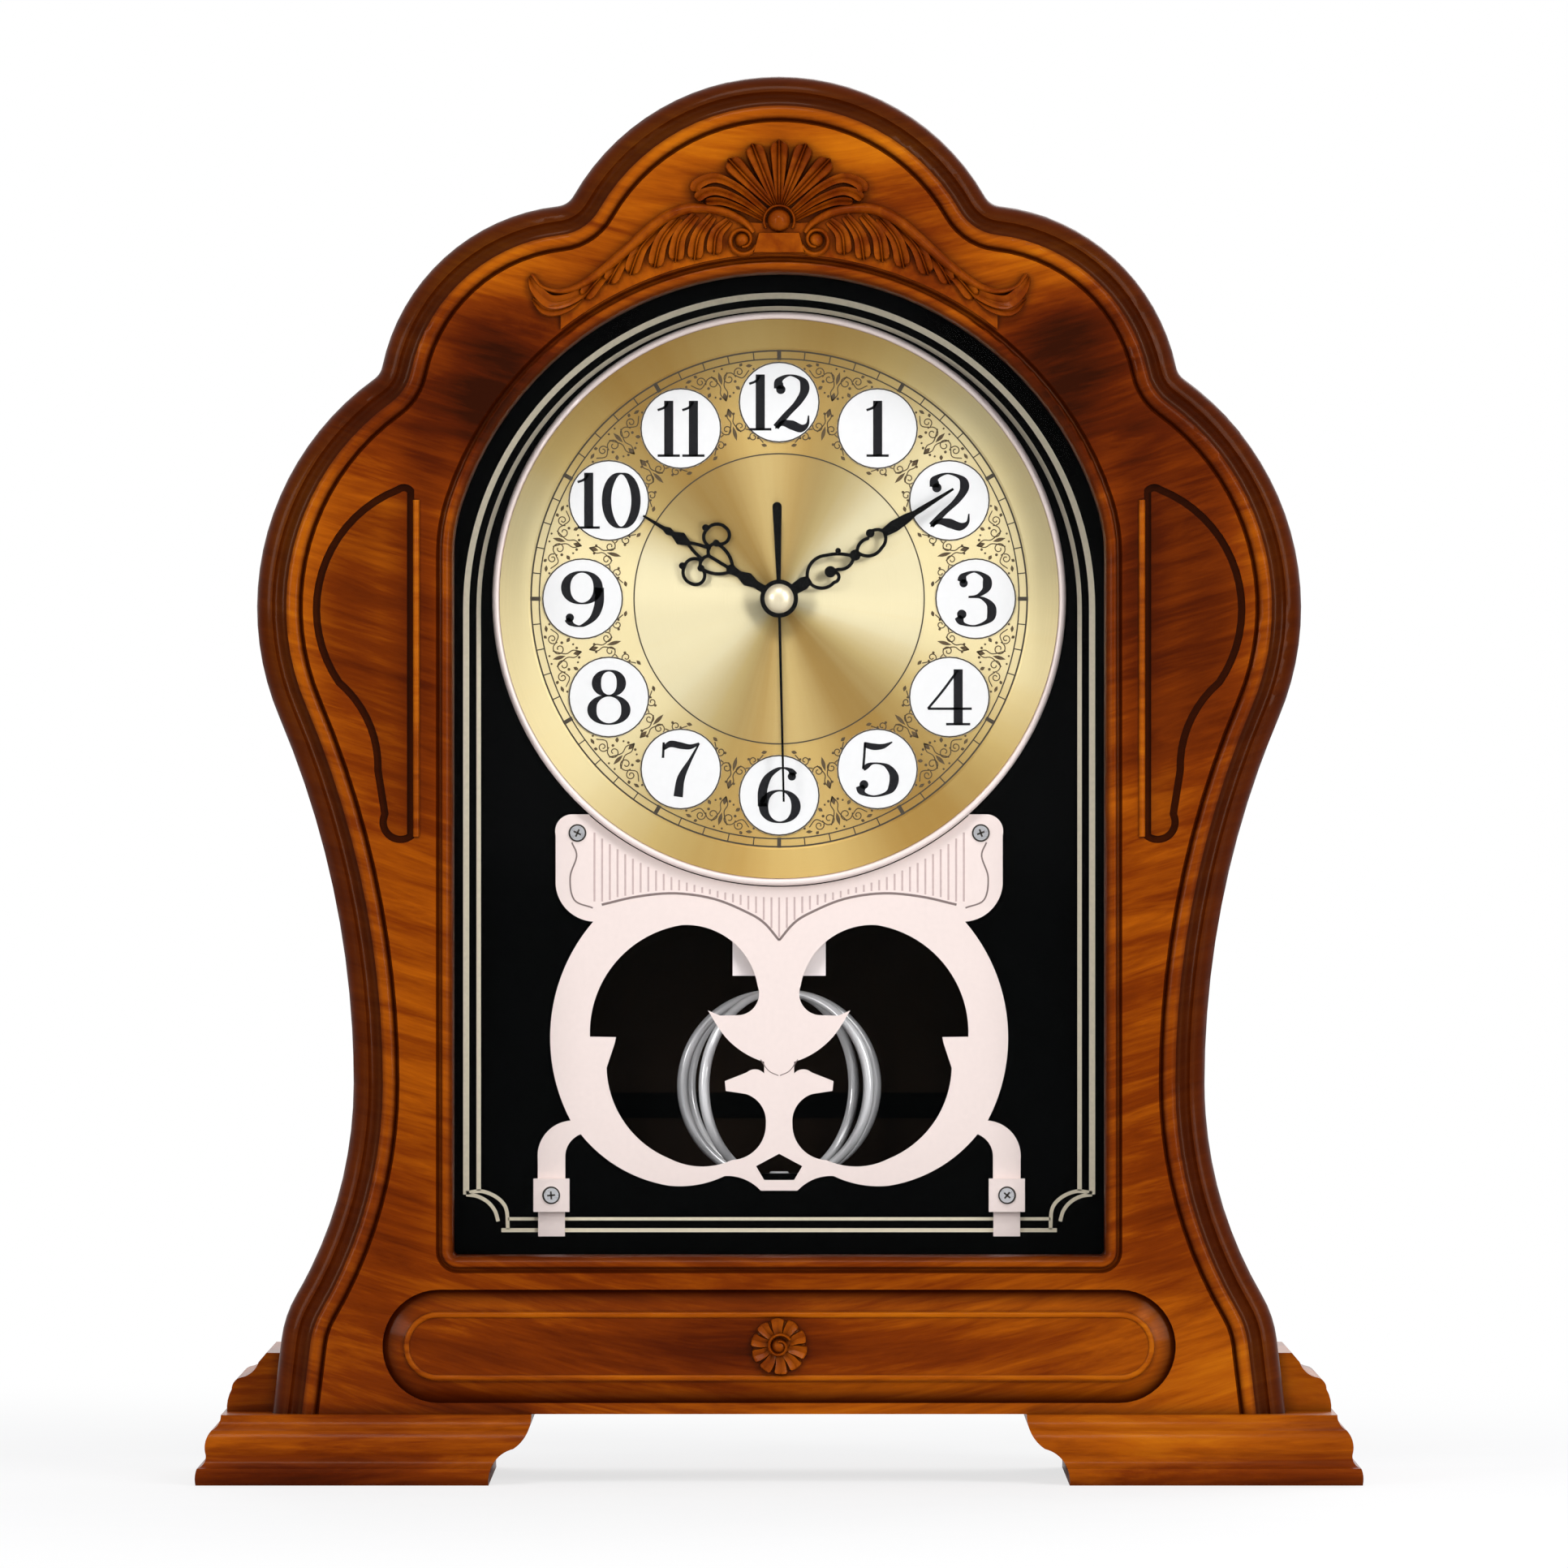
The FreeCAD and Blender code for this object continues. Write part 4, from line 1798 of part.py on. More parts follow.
def make_hinge(number, up):
    """Leaves and pin of one hinge; the panel's leaf has the outer knuckles, the door's the middle one."""
    axis_x, axis_y = hinge_axis
    low = up - s.hinge_height / 2
    clear = s.hinge_radius + s.fit
    gap = s.hinge_lift / 2
    name = "Hinge%d" % number
    panel_leaf = [block(name + "PanelLeaf", (axis_x - clear - s.hinge_leaf_width, panel_back, low),
                        (axis_x - clear, panel_back + s.hinge_leaf, low + s.hinge_height))]
    for end, start in (("Low", low), ("High", low + 2 * knuckle_height + gap)):
        height = knuckle_height - gap
        panel_leaf.append(block(name + end + "Tab", (axis_x - clear, panel_back, start),
                                (axis_x, panel_back + s.hinge_leaf, start + height)))
        panel_leaf.append(rod(name + end + "Knuckle", s.hinge_radius, height, (axis_x, axis_y, start), "z"))
    door_leaf = [
        block(name + "DoorLeaf", (axis_x + clear, panel_back, low),
              (axis_x + clear + s.hinge_leaf_width, panel_back + s.hinge_leaf, low + s.hinge_height)),
        block(name + "DoorTab", (axis_x, panel_back, low + knuckle_height + gap),
              (axis_x + clear, panel_back + s.hinge_leaf, low + 2 * knuckle_height - gap)),
        rod(name + "DoorKnuckle", s.hinge_radius, knuckle_height - 2 * gap,
            (axis_x, axis_y, low + knuckle_height + gap), "z")]
    pin = rod(name + "Pin", s.hinge_pin_radius, s.hinge_height, (axis_x, axis_y, low), "z")
    bore = rod(name + "DoorBore", s.hinge_pin_radius + s.running_fit, s.hinge_height,
               (axis_x, axis_y, low), "z")
    panel_side = cut(name + "Panel", fuse(name + "PanelBlank", *panel_leaf), pin)
    door_side = cut(name + "Door", fuse(name + "DoorBlank", *door_leaf), bore)
    return panel_side, door_side, pin


def make_back(screws):
    """A thin panel in the rebate with an opening, and the door that fills it."""
    opening = loop((s.door_half, s.door_bottom), (s.door_half, door_top), (-s.door_half, door_top),
                   (-s.door_half, s.door_bottom))
    outline = tombstone(case_inner_half + s.rebate_width - s.fit, base_board_top)
    panel = plate("BackPanelBlank", outline + opening, panel_front, panel_back)
    pin = rod("LatchPin", s.latch_pin_radius, s.back_thickness + s.latch_thickness + s.fit,
              (s.latch_out, panel_front, s.latch_up))
    head = rod("LatchHead", s.latch_head_radius, s.latch_head,
               (s.latch_out, panel_back + s.latch_thickness + s.fit * 2, s.latch_up))
    neck = rod("LatchNeck", s.latch_pin_radius, s.fit * 2,
               (s.latch_out, panel_back + s.latch_thickness, s.latch_up))
    latch_screw = fuse("LatchScrew", pin, neck, head)
    keep(cut("BackPanel", panel, pin, *screws), "back_panel")
    keep(latch_screw, "latch_screw")
    latch_low = s.latch_up - s.latch_length / 2
    latch_front = panel_back + s.fit
    half_width = s.latch_width / 2
    bar = block("LatchBar", (s.latch_out - half_width, latch_front, latch_low),
                (s.latch_out + half_width, latch_front + s.latch_thickness, latch_low + s.latch_length))
    bore = rod("LatchBore", s.latch_pin_radius + s.running_fit, s.latch_thickness + s.overrun * 2,
               (s.latch_out, panel_back - s.overrun, s.latch_up))
    keep(cut("DoorLatch", bar, bore), "door_latch")
    door = block("BackDoor", (s.door_gap - s.door_half, panel_front, s.door_bottom + s.door_gap),
                 (s.door_half - s.door_gap, panel_back, door_top - s.door_gap))
    keep(door, "back_door")
    pull_out = s.door_half - s.hinge_inset / 2
    half_length = s.door_pull_length / 2
    pull = fuse("DoorPull",
                rod("PullNeck", s.door_pull_neck_radius, half_length, (pull_out, panel_back, s.latch_up)),
                rod("PullHead", s.door_pull_radius, half_length,
                    (pull_out, panel_back + half_length, s.latch_up)))
    keep(pull, "door_pull")
    hinges = [make_hinge(number, up) for number, up in
              enumerate((s.door_bottom + s.hinge_inset, door_top - s.hinge_inset))]
    keep(group("PanelHingeLeaves", *[hinge[0] for hinge in hinges]), "panel_hinge_leaves")
    keep(group("DoorHingeLeaves", *[hinge[1] for hinge in hinges]), "door_hinge_leaves")
    keep(group("HingePins", *[hinge[2] for hinge in hinges]), "hinge_pins")


SIDE_SCREWS = len(PANEL_SCREW_RISE_SHARES)
panel_screws = make_panel_screws()
right_panel_screws = panel_screws[:len(panel_screws) // 2]
left_panel_screws = panel_screws[len(panel_screws) // 2:]
left_foot_screws = make_foot_screws(-1)
right_foot_screws = make_foot_screws(1)
dial_screws = make_dial_screws()
fret_screws = make_fret_screws()
drive_screws = make_drive_screws()

make_front_board()
keep(formed("CrestCarving", crest_shape()), "crest_carving")
keep(formed("Rosette", rosette_shape()), "rosette")
make_base_board(left_foot_screws + right_foot_screws)
make_foot("left_foot", -1, left_foot_screws)
make_foot("right_foot", 1, right_foot_screws)
make_side("left_side", -1, left_panel_screws[:SIDE_SCREWS])
make_side("right_side", 1, right_panel_screws[:SIDE_SCREWS])
make_arch(left_panel_screws[SIDE_SCREWS:] + right_panel_screws[SIDE_SCREWS:])
make_glass()
make_liner(dial_screws)
make_dial_board(dial_screws + fret_screws + drive_screws)
make_dial()
make_fret(fret_screws)
keep(group("FretFeet", *[cut(foot.Name + "Bored", foot, *fret_screws) for foot in make_fret_feet()]),
     "fret_feet")
make_hands()
make_gears()
make_movement_case()
make_movement_cover()
make_fixing()
make_motor()
battery_places = (("Movement", movement_battery_up), ("Drive", bay_middle))
keep(group("Batteries", *[battery(name + "Battery", up) for name, up in battery_places]), "batteries")
keep(group("BatteryContacts", *[piece for name, up in battery_places for piece in contacts(name, up)]),
     "battery_contacts")
make_drive(drive_screws)
make_pendulum()
make_back(panel_screws)
keep(group("DialBoardScrews", *dial_screws), "dial_board_screws")
keep(group("FretScrews", *fret_screws), "fret_screws")
keep(group("DriveScrews", *drive_screws), "drive_screws")
keep(group("BackPanelScrews", *panel_screws), "back_panel_screws")
keep(group("FootScrews", *left_foot_screws, *right_foot_screws), "foot_screws")

# Checks, then one file for each sub-part

doc.recompute()
for thing in doc.Objects:
    if "Invalid" in thing.State or "Error" in thing.State:
        raise RuntimeError("%s can't be computed" % thing.Name)
for thing in cuts_to_check:
    base = thing.Base if thing.TypeId == "Part::Cut" else thing.BaseFeature
    if thing.Shape.Volume >= base.Shape.Volume:
        raise RuntimeError("%s takes nothing away" % thing.Name)
for thing in nodes:
    if thing.Shape.isNull() or not thing.Shape.isValid():
        raise RuntimeError("%s isn't a sound shape" % thing.Label)
os.makedirs("parts", exist_ok=True)
for thing in nodes:
    thing.Shape.exportStep("parts/%s.step" % thing.Label)
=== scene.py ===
# %% [markdown]
# # A lacquered shelf clock
# The clock stands on two bracket feet. A scalloped front board holds an arched window, and behind the
# glass lie a black board, a round gold dial with three hands, a pierced metal fret and a pendulum that
# turns to and fro. The CAD model gives every solid its place and size. This file adds what a solid
# can't say: lacquer, grain, printed lines, numerals, carving and light.

# %% Load the frame
import math
import bmesh
import bpy
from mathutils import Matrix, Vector


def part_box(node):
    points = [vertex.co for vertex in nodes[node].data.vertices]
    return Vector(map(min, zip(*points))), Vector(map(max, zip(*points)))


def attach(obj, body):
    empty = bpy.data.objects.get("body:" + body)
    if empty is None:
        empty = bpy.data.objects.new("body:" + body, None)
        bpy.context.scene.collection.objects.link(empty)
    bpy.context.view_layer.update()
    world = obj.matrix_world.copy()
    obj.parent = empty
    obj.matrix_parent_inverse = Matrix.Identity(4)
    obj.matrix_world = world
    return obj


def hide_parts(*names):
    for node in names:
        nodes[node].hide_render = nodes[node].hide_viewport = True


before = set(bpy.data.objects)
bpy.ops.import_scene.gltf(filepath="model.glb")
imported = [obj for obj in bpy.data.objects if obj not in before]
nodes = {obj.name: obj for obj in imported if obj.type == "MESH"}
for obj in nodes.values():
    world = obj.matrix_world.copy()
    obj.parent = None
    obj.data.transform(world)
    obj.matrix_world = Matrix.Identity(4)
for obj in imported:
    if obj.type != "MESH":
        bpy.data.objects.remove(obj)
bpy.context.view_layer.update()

# %% [markdown]
# ## Where things lie
# All drawing below is in millimetres: across, depth and up. Depth grows from the dial to the back, so a
# smaller depth is nearer to the viewer. The front and back of a CAD piece are read from the frame, and
# each drawn piece is seated on them, so nothing floats.

# %% Heights and depths
DIAL_UP = 217.1  # centre of the dial and the hands
ARCH_UP = 214.7  # centre of the window's arch
DISC_THICKNESS = 0.3
THIN_PRINT, BOLD_PRINT = 0.03, 0.04  # thickness of fine lines and of bolder print


def front_of(node):
    """Depth of a CAD piece's front, in millimetres."""
    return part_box(node)[0].y * 1000


def back_of(node):
    """Depth of a CAD piece's back, in millimetres."""
    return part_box(node)[1].y * 1000


board_front = front_of("front_board")
disc_front = front_of("numeral_discs")
black_front = front_of("dial_board")
fret_front = front_of("fret_plate")
dial_flat = disc_front + DISC_THICKNESS
print("front board", round(board_front, 2), "dial", round(dial_flat, 2), "fret", round(fret_front, 2))

# %% [markdown]
# ## A bench for drawn pieces
# A carved petal, a gold line and a numeral are all the same thing to a maker: a section that runs along
# a line. One small class collects such runs as points and faces, and then makes one mesh object from
# them. Mesh code is used here, not Blender's curve objects, because each run's width changes on its way.

# %% The bench
SHARP_ANGLE = 38  # sharper edges of a drawn piece stay crisp, in degrees
ROUND_ANGLE = 40  # sharper edges are the ones that soften rounds, in degrees


def placed(name, data):
    """A new object in the scene."""
    made = bpy.data.objects.new(name, data)
    bpy.context.scene.collection.objects.link(made)
    return made


class Workpiece:
    """Collects points and faces in millimetres, and makes one piece of them."""

    def __init__(self):
        self.points = []
        self.faces = []

    def add(self, points, faces):
        start = len(self.points)
        self.points += points
        self.faces += [[start + index for index in face] for face in faces]

    def sections(self, rings, closed_ring, closed_run=False):
        """Joins neighbouring sections with faces; a closed ring also joins its last point to its first."""
        count = len(rings[0])
        faces = []
        last = len(rings) if closed_run else len(rings) - 1
        for row in range(last):
            following = (row + 1) % len(rings)
            for column in range(count if closed_ring else count - 1):
                beside = (column + 1) % count
                faces.append([row * count + column, row * count + beside,
                              following * count + beside, following * count + column])
        if closed_ring and not closed_run:
            faces.append(list(range(count)))
            faces.append([(len(rings) - 1) * count + column for column in reversed(range(count))])
        self.add([point for ring in rings for point in ring], faces)

    def make(self, name, body, finish, smooth=False):
        mesh = bpy.data.meshes.new(name)
        mesh.from_pydata([(x / 1000, y / 1000, z / 1000) for x, y, z in self.points], [], self.faces)
        mesh.materials.append(finish)
        piece = placed(name, mesh)
        outward(mesh)
        if smooth:
            mesh.shade_smooth()
            mesh.set_sharp_from_angle(angle=math.radians(SHARP_ANGLE))
        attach(piece, body)
        print(name, len(mesh.vertices), "points")
        return piece


def outward(mesh):
    """Turns all faces outward."""
    work = bmesh.new()
    work.from_mesh(mesh)
    bmesh.ops.recalc_face_normals(work, faces=work.faces)
    work.to_mesh(mesh)
    work.free()


def soften(piece, width):
    """A small rounded edge, as sanding and lacquer leave it."""
    rounding = piece.modifiers.new("rounded edges", "BEVEL")
    rounding.width = width / 1000
    rounding.segments = 2
    rounding.limit_method = "ANGLE"
    rounding.angle_limit = math.radians(ROUND_ANGLE)


# %% Runs of points
def flowing(points, steps=8, closed=False):
    """A smooth line through the given points."""
    count = len(points)
    result = []
    spans = count if closed else count - 1
    for span in range(spans):
        if closed:
            before, start, end, after = (points[(span + shift) % count] for shift in (-1, 0, 1, 2))
        else:
            start, end = points[span], points[span + 1]
            before = points[span - 1] if span else (2 * start[0] - end[0], 2 * start[1] - end[1])
            after = points[span + 2] if span + 2 < count else (2 * end[0] - start[0], 2 * end[1] - start[1])
        for step in range(steps):
            t = step / steps
            result.append(tuple(
                0.5 * (2 * b + (c - a) * t + (2 * a - 5 * b + 4 * c - d) * t * t
                       + (3 * b - a - 3 * c + d) * t ** 3)
                for a, b, c, d in zip(before, start, end, after)))
    if not closed:
        result.append(tuple(points[-1]))
    return result


def sideways(path, closed=False):
    """The unit normal in the drawing plane at each point of a line."""
    normals = []
    count = len(path)
    for index in range(count):
        if closed:
            before, after = path[index - 1], path[(index + 1) % count]
        else:
            before, after = path[max(index - 1, 0)], path[min(index + 1, count - 1)]
        run, rise = after[0] - before[0], after[1] - before[1]
        length = math.hypot(run, rise) or 1.0
        normals.append((-rise / length, run / length))
    return normals


SPIRAL_STEPS = 28


def winding(centre, first, last, start, end, steps):
    """Points of an arc from a first to a last radius; degrees, anticlockwise from the right."""
    points = []
    for step in range(steps + 1):
        share = step / steps
        angle = math.radians(start + (end - start) * share)
        radius = first + (last - first) * share
        points.append((centre[0] + radius * math.cos(angle), centre[1] + radius * math.sin(angle)))
    return points


def around(centre, radius, start, end, steps):
    return winding(centre, radius, radius, start, end, steps)


def circle(centre, radius, count):
    """Points of a whole circle, for a closed run."""
    return around(centre, radius, 0, 360 - 360 / count, count - 1)


def spoke(centre, radius, angle):
    """The point at this angle and distance from the centre."""
    return around(centre, radius, angle, angle, 1)[0]


def spiral(centre, first, last, start, turns):
    """Points of a scroll that winds in or out."""
    return winding(centre, first, last, start, start + 360 * turns, SPIRAL_STEPS)


def to_side(side, path):
    """A line drawn for the right: kept there by side 1, mirrored to the left by side -1."""
    return [(side * x, z) for x, z in path]


def swelling(count, ends, rise):
    """Widths or heights along a line that grow towards its middle."""
    return [ends + rise * math.sin(math.pi * i / (count - 1)) for i in range(count)]


# %% Strips and ridges
RIDGE_COLUMNS = 10


def strip(work, path, half, front, thickness=0.05, closed=False):
    """A flat band along a line; half is a width or a list of widths to each side."""
    halves = half if isinstance(half, list) else [half] * len(path)
    rings = []
    for (x, z), (nx, nz), reach in zip(path, sideways(path, closed), halves):
        rings.append([(x + nx * reach, front - thickness, z + nz * reach),
                      (x - nx * reach, front - thickness, z - nz * reach),
                      (x - nx * reach, front, z - nz * reach),
                      (x + nx * reach, front, z + nz * reach)])
    work.sections(rings, True, closed)


def ridge(work, path, widths, heights, hollow=0.0):
    """A carved rib on the board, along a line. With hollow above 0 its middle is scooped out like a petal."""
    rings = []
    for index, ((x, z), (nx, nz)) in enumerate(zip(path, sideways(path))):
        width, height = widths[index], heights[index]
        ring = []
        for column in range(RIDGE_COLUMNS + 1):
            u = -1 + 2 * column / RIDGE_COLUMNS
            crown = math.sqrt(max(0.0, 1 - u * u))
            if hollow:
                crown = min(1.0, (1 - abs(u)) * 5) * (1 - hollow * (1 - abs(u)) ** 1.2)
            ring.append((x + nx * width * u, board_front - height * crown, z + nz * width * u))
        rings.append(ring)
    work.sections(rings, False)


def dome(work, centre, radius, height, rows, columns):
    """A low round boss on the board."""
    rings = []
    for row in range(rows + 1):
        lift = math.pi / 2 * row / rows
        reach = max(radius * math.cos(lift), 0.001)
        rings.append([(x, board_front - height * math.sin(lift), z)
                      for x, z in circle(centre, reach, columns)])
    work.sections(rings, True)


# %% [markdown]
# ## Finishes
# Each finish is a small net of nodes round one Principled shader. The nets read the piece's own
# coordinates in metres, so grain and streaks have real sizes and stay put when the clock is seen from
# another side. Plain numbers, such as roughness or coat, are set on the shader itself.

# %% Node helpers
class Net:
    """The nodes of a material or of the world."""

    def __init__(self, owner):
        owner.use_nodes = True
        self.tree = owner.node_tree
        self.tree.nodes.clear()

    def feed(self, socket, value):
        """Links an output to the socket, or sets a plain value on it."""
        if isinstance(value, bpy.types.NodeSocket):
            self.tree.links.new(value, socket)
        else:
            socket.default_value = value

    def node(self, kind, inputs=None, **settings):
        made = self.tree.nodes.new(kind)
        for key, value in settings.items():
            setattr(made, key, value)
        for socket, value in (inputs or {}).items():
            self.feed(made.inputs[socket], value)
        return made

    def sum(self, operation, first, second=0.0, third=None, clamp=False):
        inputs = {0: first, 1: second}
        if third is not None:
            inputs[2] = third
        return self.node("ShaderNodeMath", inputs, operation=operation, use_clamp=clamp).outputs[0]

    def distance(self, first, second):
        """How far a place lies from zero, along two axes."""
        return self.sum("SQRT", self.sum("ADD", self.sum("MULTIPLY", first, first),
                                         self.sum("MULTIPLY", second, second)))

    def joined(self, x, y, z):
        return self.node("ShaderNodeCombineXYZ", {0: x, 1: y, 2: z}).outputs[0]

    def span(self, value, low, high, start=0.0, end=1.0, shape="LINEAR"):
        """Maps low to start and high to end."""
        return self.node("ShaderNodeMapRange", {0: value, 1: low, 2: high, 3: start, 4: end},
                         interpolation_type=shape).outputs[0]

    def noise(self, place, scale, detail, roughness, distortion=0.0):
        return self.node("ShaderNodeTexNoise", {
            "Vector": place, "Scale": scale, "Detail": detail, "Roughness": roughness,
            "Distortion": distortion}).outputs[0]

    def ramp(self, share, *stops):
        made = self.node("ShaderNodeValToRGB", {0: share})
        band = made.color_ramp.elements
        while len(band) < len(stops):
            band.new(0.5)
        for element, (position, colour) in zip(band, stops):
            element.position = position
            element.color = (*colour, 1.0) if isinstance(colour, tuple) else (colour, colour, colour, 1.0)
        return made.outputs[0]

    def mix(self, share, first, second, blend="MIX"):
        made = self.node("ShaderNodeMix", data_type="RGBA", blend_type=blend)
        for index, value in ((0, share), (6, first), (7, second)):
            self.feed(made.inputs[index], (*value, 1.0) if isinstance(value, tuple) else value)
        return made.outputs[2]


class Finish(Net):
    """A material under construction."""

    def __init__(self, name, **plain):
        self.material = bpy.data.materials.new(name)
        super().__init__(self.material)
        self.shader = self.node("ShaderNodeBsdfPrincipled")
        self.surface = self.node("ShaderNodeOutputMaterial", {0: self.shader.outputs["BSDF"]}).inputs[0]
        for socket, value in plain.items():
            self.shader.inputs[socket.replace("_", " ")].default_value = value
        self.place = self.node("ShaderNodeTexCoord").outputs["Object"]

    def cloud(self, scale, detail=3.0, roughness=0.5, distortion=0.0, place=None):
        """Noise in the piece's own coordinates; three scales stretch it along the axes."""
        scale = scale if isinstance(scale, tuple) else (scale, scale, scale)
        spot = self.node("ShaderNodeMapping", {"Vector": place or self.place, "Scale": scale}).outputs[0]
        return self.noise(spot, 1.0, detail, roughness, distortion)

    def colour(self, value):
        self.feed(self.shader.inputs["Base Color"], value)

    def rough(self, share, low, high):
        self.feed(self.shader.inputs["Roughness"], self.span(share, 0.0, 1.0, low, high))

    def bump(self, height, strength, distance):
        made = self.node("ShaderNodeBump", {"Height": height, "Strength": strength, "Distance": distance})
        self.feed(self.shader.inputs["Normal"], made.outputs[0])

    def axes(self):
        parts = self.node("ShaderNodeSeparateXYZ", {0: self.place})
        return parts.outputs[0], parts.outputs[1], parts.outputs[2]


# %% [markdown]
# ### Lacquered wood
# The boards are stained and sprayed orange where the surface lies open. Painted shade makes them brown
# to near black in every hollow: depth behind the board's front face, mouldings that turn away from the
# front and short-range occlusion all pull the colour down. A table of soft places says where the spray
# left it lighter or darker. Fine streaks give the figure of the veneer: nearly level, and rising towards
# both sides of the front board. A thin clear coat and a warm gloss lie over all.

# %% Wood
WOOD_BRIGHT = (0.46, 0.130, 0.003)
WOOD_ORANGE = (0.29, 0.062, 0.0014)
WOOD_BROWN = (0.140, 0.0205, 0.0006)
WOOD_DARK = (0.062, 0.0066, 0.0003)
WOOD_DEEP = (0.018, 0.0018, 0.0002)
# Where the spray left the front board lighter (above 0) or darker: across, up, reach across, reach up
SPRAYED = (
    (92, 118, 22, 72, 0.07), (118, 232, 13, 60, 0.10), (72, 300, 34, 18, 0.24), (26, 329, 52, 12, 0.24),
    (46, 313, 24, 18, 0.08), (70, 268, 26, 40, -0.46), (98, 262, 22, 24, -0.18), (88, 218, 11, 70, -0.24),
    (104, 212, 18, 66, -0.16), (0, 53, 125, 7, -0.02), (0, 33, 96, 11, -0.24), (110, 26, 30, 20, 0.06),
    (96, 62, 20, 26, -0.10),
)
# The same for the feet: a lighter shoulder and a darker toe
SPRAYED_FEET = ((118, 11, 70, 4, 0.05), (118, 1, 70, 9, -0.24))
# Shares of the four parts of the figure, and the level that is taken off their sum
STREAKS, FINE_LINES, BANDS, PATCHES, FIGURE_MIDDLE = 0.56, 0.20, 0.20, 0.50, 0.295
GRAIN_BEND, BEND_SOFTNESS = -0.34, 0.0025  # the board's grain rises to both sides
# Painted shade: how deep below the board's front the darkening starts and is full, and how strong it is
SUNK_FROM, SUNK_FULL, SUNK_SHADE_SHARE = 0.0009, 0.0021, 0.88  # metres below the board's front
# Painted shade: mouldings that turn away from the front are darker
TILT_FROM, TILT_FULL, TILT_SHADE_SHARE = 0.985, 0.72, 0.76  # how squarely a moulding faces the front
# Painted shade: how strongly short-range occlusion darkens the hollows
OCCLUSION_SHADE_SHARE = 0.66
LINING_REACH, LINING_EDGE = 0.0885, 0.0887  # the case's inner face, from the window's middle line
INSIDE_BLACK = (0.002, 0.002, 0.002)


def window_distance(finish):
    """Distance from the middle line of the window, so that it is about 0.081 at the window's edge."""
    across, _, up = finish.axes()
    return finish.distance(across, finish.sum("MAXIMUM", finish.sum("SUBTRACT", up, ARCH_UP / 1000), 0.0))


def sprayed(finish, level, places):
    """Adds the soft light and dark places, the same on the left and the right."""
    across, _, up = finish.axes()
    folded = finish.joined(finish.sum("ABSOLUTE", across), 0.0, up)
    for x, z, wide, high, amount in places:
        local = finish.node("ShaderNodeMapping", {
            "Vector": folded, "Location": (-x / wide, 0.0, -z / high),
            "Scale": (1000 / wide, 0.0, 1000 / high)}).outputs[0]
        away = finish.node("ShaderNodeVectorMath", {0: local}, operation="LENGTH").outputs["Value"]
        level = finish.sum("ADD", level, finish.span(away, 0.0, 1.0, amount, 0.0, "SMOOTHSTEP"))
    return level


def wood(name, tone=0.0, board=False, places=(), lined=False, grain=(20.0, 20.0, 180.0),
         occlusion_shade_reach=0.004):
    """Sprayed and lacquered wood with painted shade in its hollows; tone above 0 darkens it, lined paints the
    case's inside black.
    """
    finish = Finish(name, Roughness=0.38, Coat_Weight=0.2, Coat_Roughness=0.1, Coat_IOR=1.2,
                    Specular_IOR_Level=0.09, Specular_Tint=(1.0, 0.42, 0.12, 1.0))
    across, depth, up = finish.axes()
    place = None
    if board:
        bent = finish.sum("SQRT", finish.sum("MULTIPLY_ADD", across, across, BEND_SOFTNESS))
        place = finish.joined(across, depth, finish.sum("MULTIPLY_ADD", bent, GRAIN_BEND, up))
    streaks = finish.cloud(grain, 6.0, 0.66, 0.9, place)
    fine = finish.cloud(tuple(part * 5.0 for part in grain), 3.0, 0.6, place=place)
    bands = finish.cloud((7.0, 7.0, 52.0), 2.0, 0.5, 0.8, place)
    patches = finish.cloud(13.0, 2.0, 0.45)
    figure = finish.sum("MULTIPLY_ADD", streaks, STREAKS, finish.sum("MULTIPLY", fine, FINE_LINES))
    level = finish.sum("MULTIPLY_ADD", bands, BANDS, figure)
    level = finish.sum("MULTIPLY_ADD", patches, PATCHES, level)
    level = finish.sum("SUBTRACT", level, FIGURE_MIDDLE + tone)
    if places:
        level = sprayed(finish, level, places)
    shade = finish.ramp(level, (0.02, WOOD_DEEP), (0.20, WOOD_DARK), (0.38, WOOD_BROWN),
                        (0.56, WOOD_ORANGE), (0.78, WOOD_BRIGHT))
    if board:
        # Painted shade: the front board darkens with depth behind its front face, to deep brown higher up and
        # dark brown lower down
        below = finish.sum("SUBTRACT", depth, board_front / 1000)
        sunk = finish.span(below, SUNK_FROM, SUNK_FULL, 0.0, SUNK_SHADE_SHARE)
        low = finish.sum("MULTIPLY_ADD", up, -1.6, finish.sum("ADD", figure, 0.25), clamp=True)
        shade = finish.mix(sunk, shade, finish.mix(low, WOOD_DEEP, WOOD_DARK))
        # Painted shade: faces turned away from the front, as on the mouldings, get darker
        normal = finish.node("ShaderNodeNewGeometry").outputs["Normal"]
        facing = finish.node("ShaderNodeSeparateXYZ", {0: normal}).outputs[1]
        tilted = finish.span(finish.sum("ABSOLUTE", facing), TILT_FROM, TILT_FULL, 0.0, TILT_SHADE_SHARE)
        shade = finish.mix(tilted, shade, finish.mix(figure, WOOD_DEEP, WOOD_BROWN))
    # Painted shade: short-range occlusion darkens every hollow towards deep brown
    hollow = finish.node("ShaderNodeAmbientOcclusion", {"Distance": occlusion_shade_reach}, samples=8)
    closed = finish.ramp(hollow.outputs["AO"], (0.42, OCCLUSION_SHADE_SHARE), (0.92, 0.0))
    shade = finish.mix(closed, shade, WOOD_DEEP)
    if lined:
        inner = finish.ramp(window_distance(finish), (LINING_REACH, 1.0), (LINING_EDGE, 0.0))
        shade = finish.mix(inner, shade, INSIDE_BLACK)
    finish.colour(shade)
    finish.rough(figure, 0.30, 0.46)
    finish.bump(fine, 0.05, 0.0003)
    return finish.material


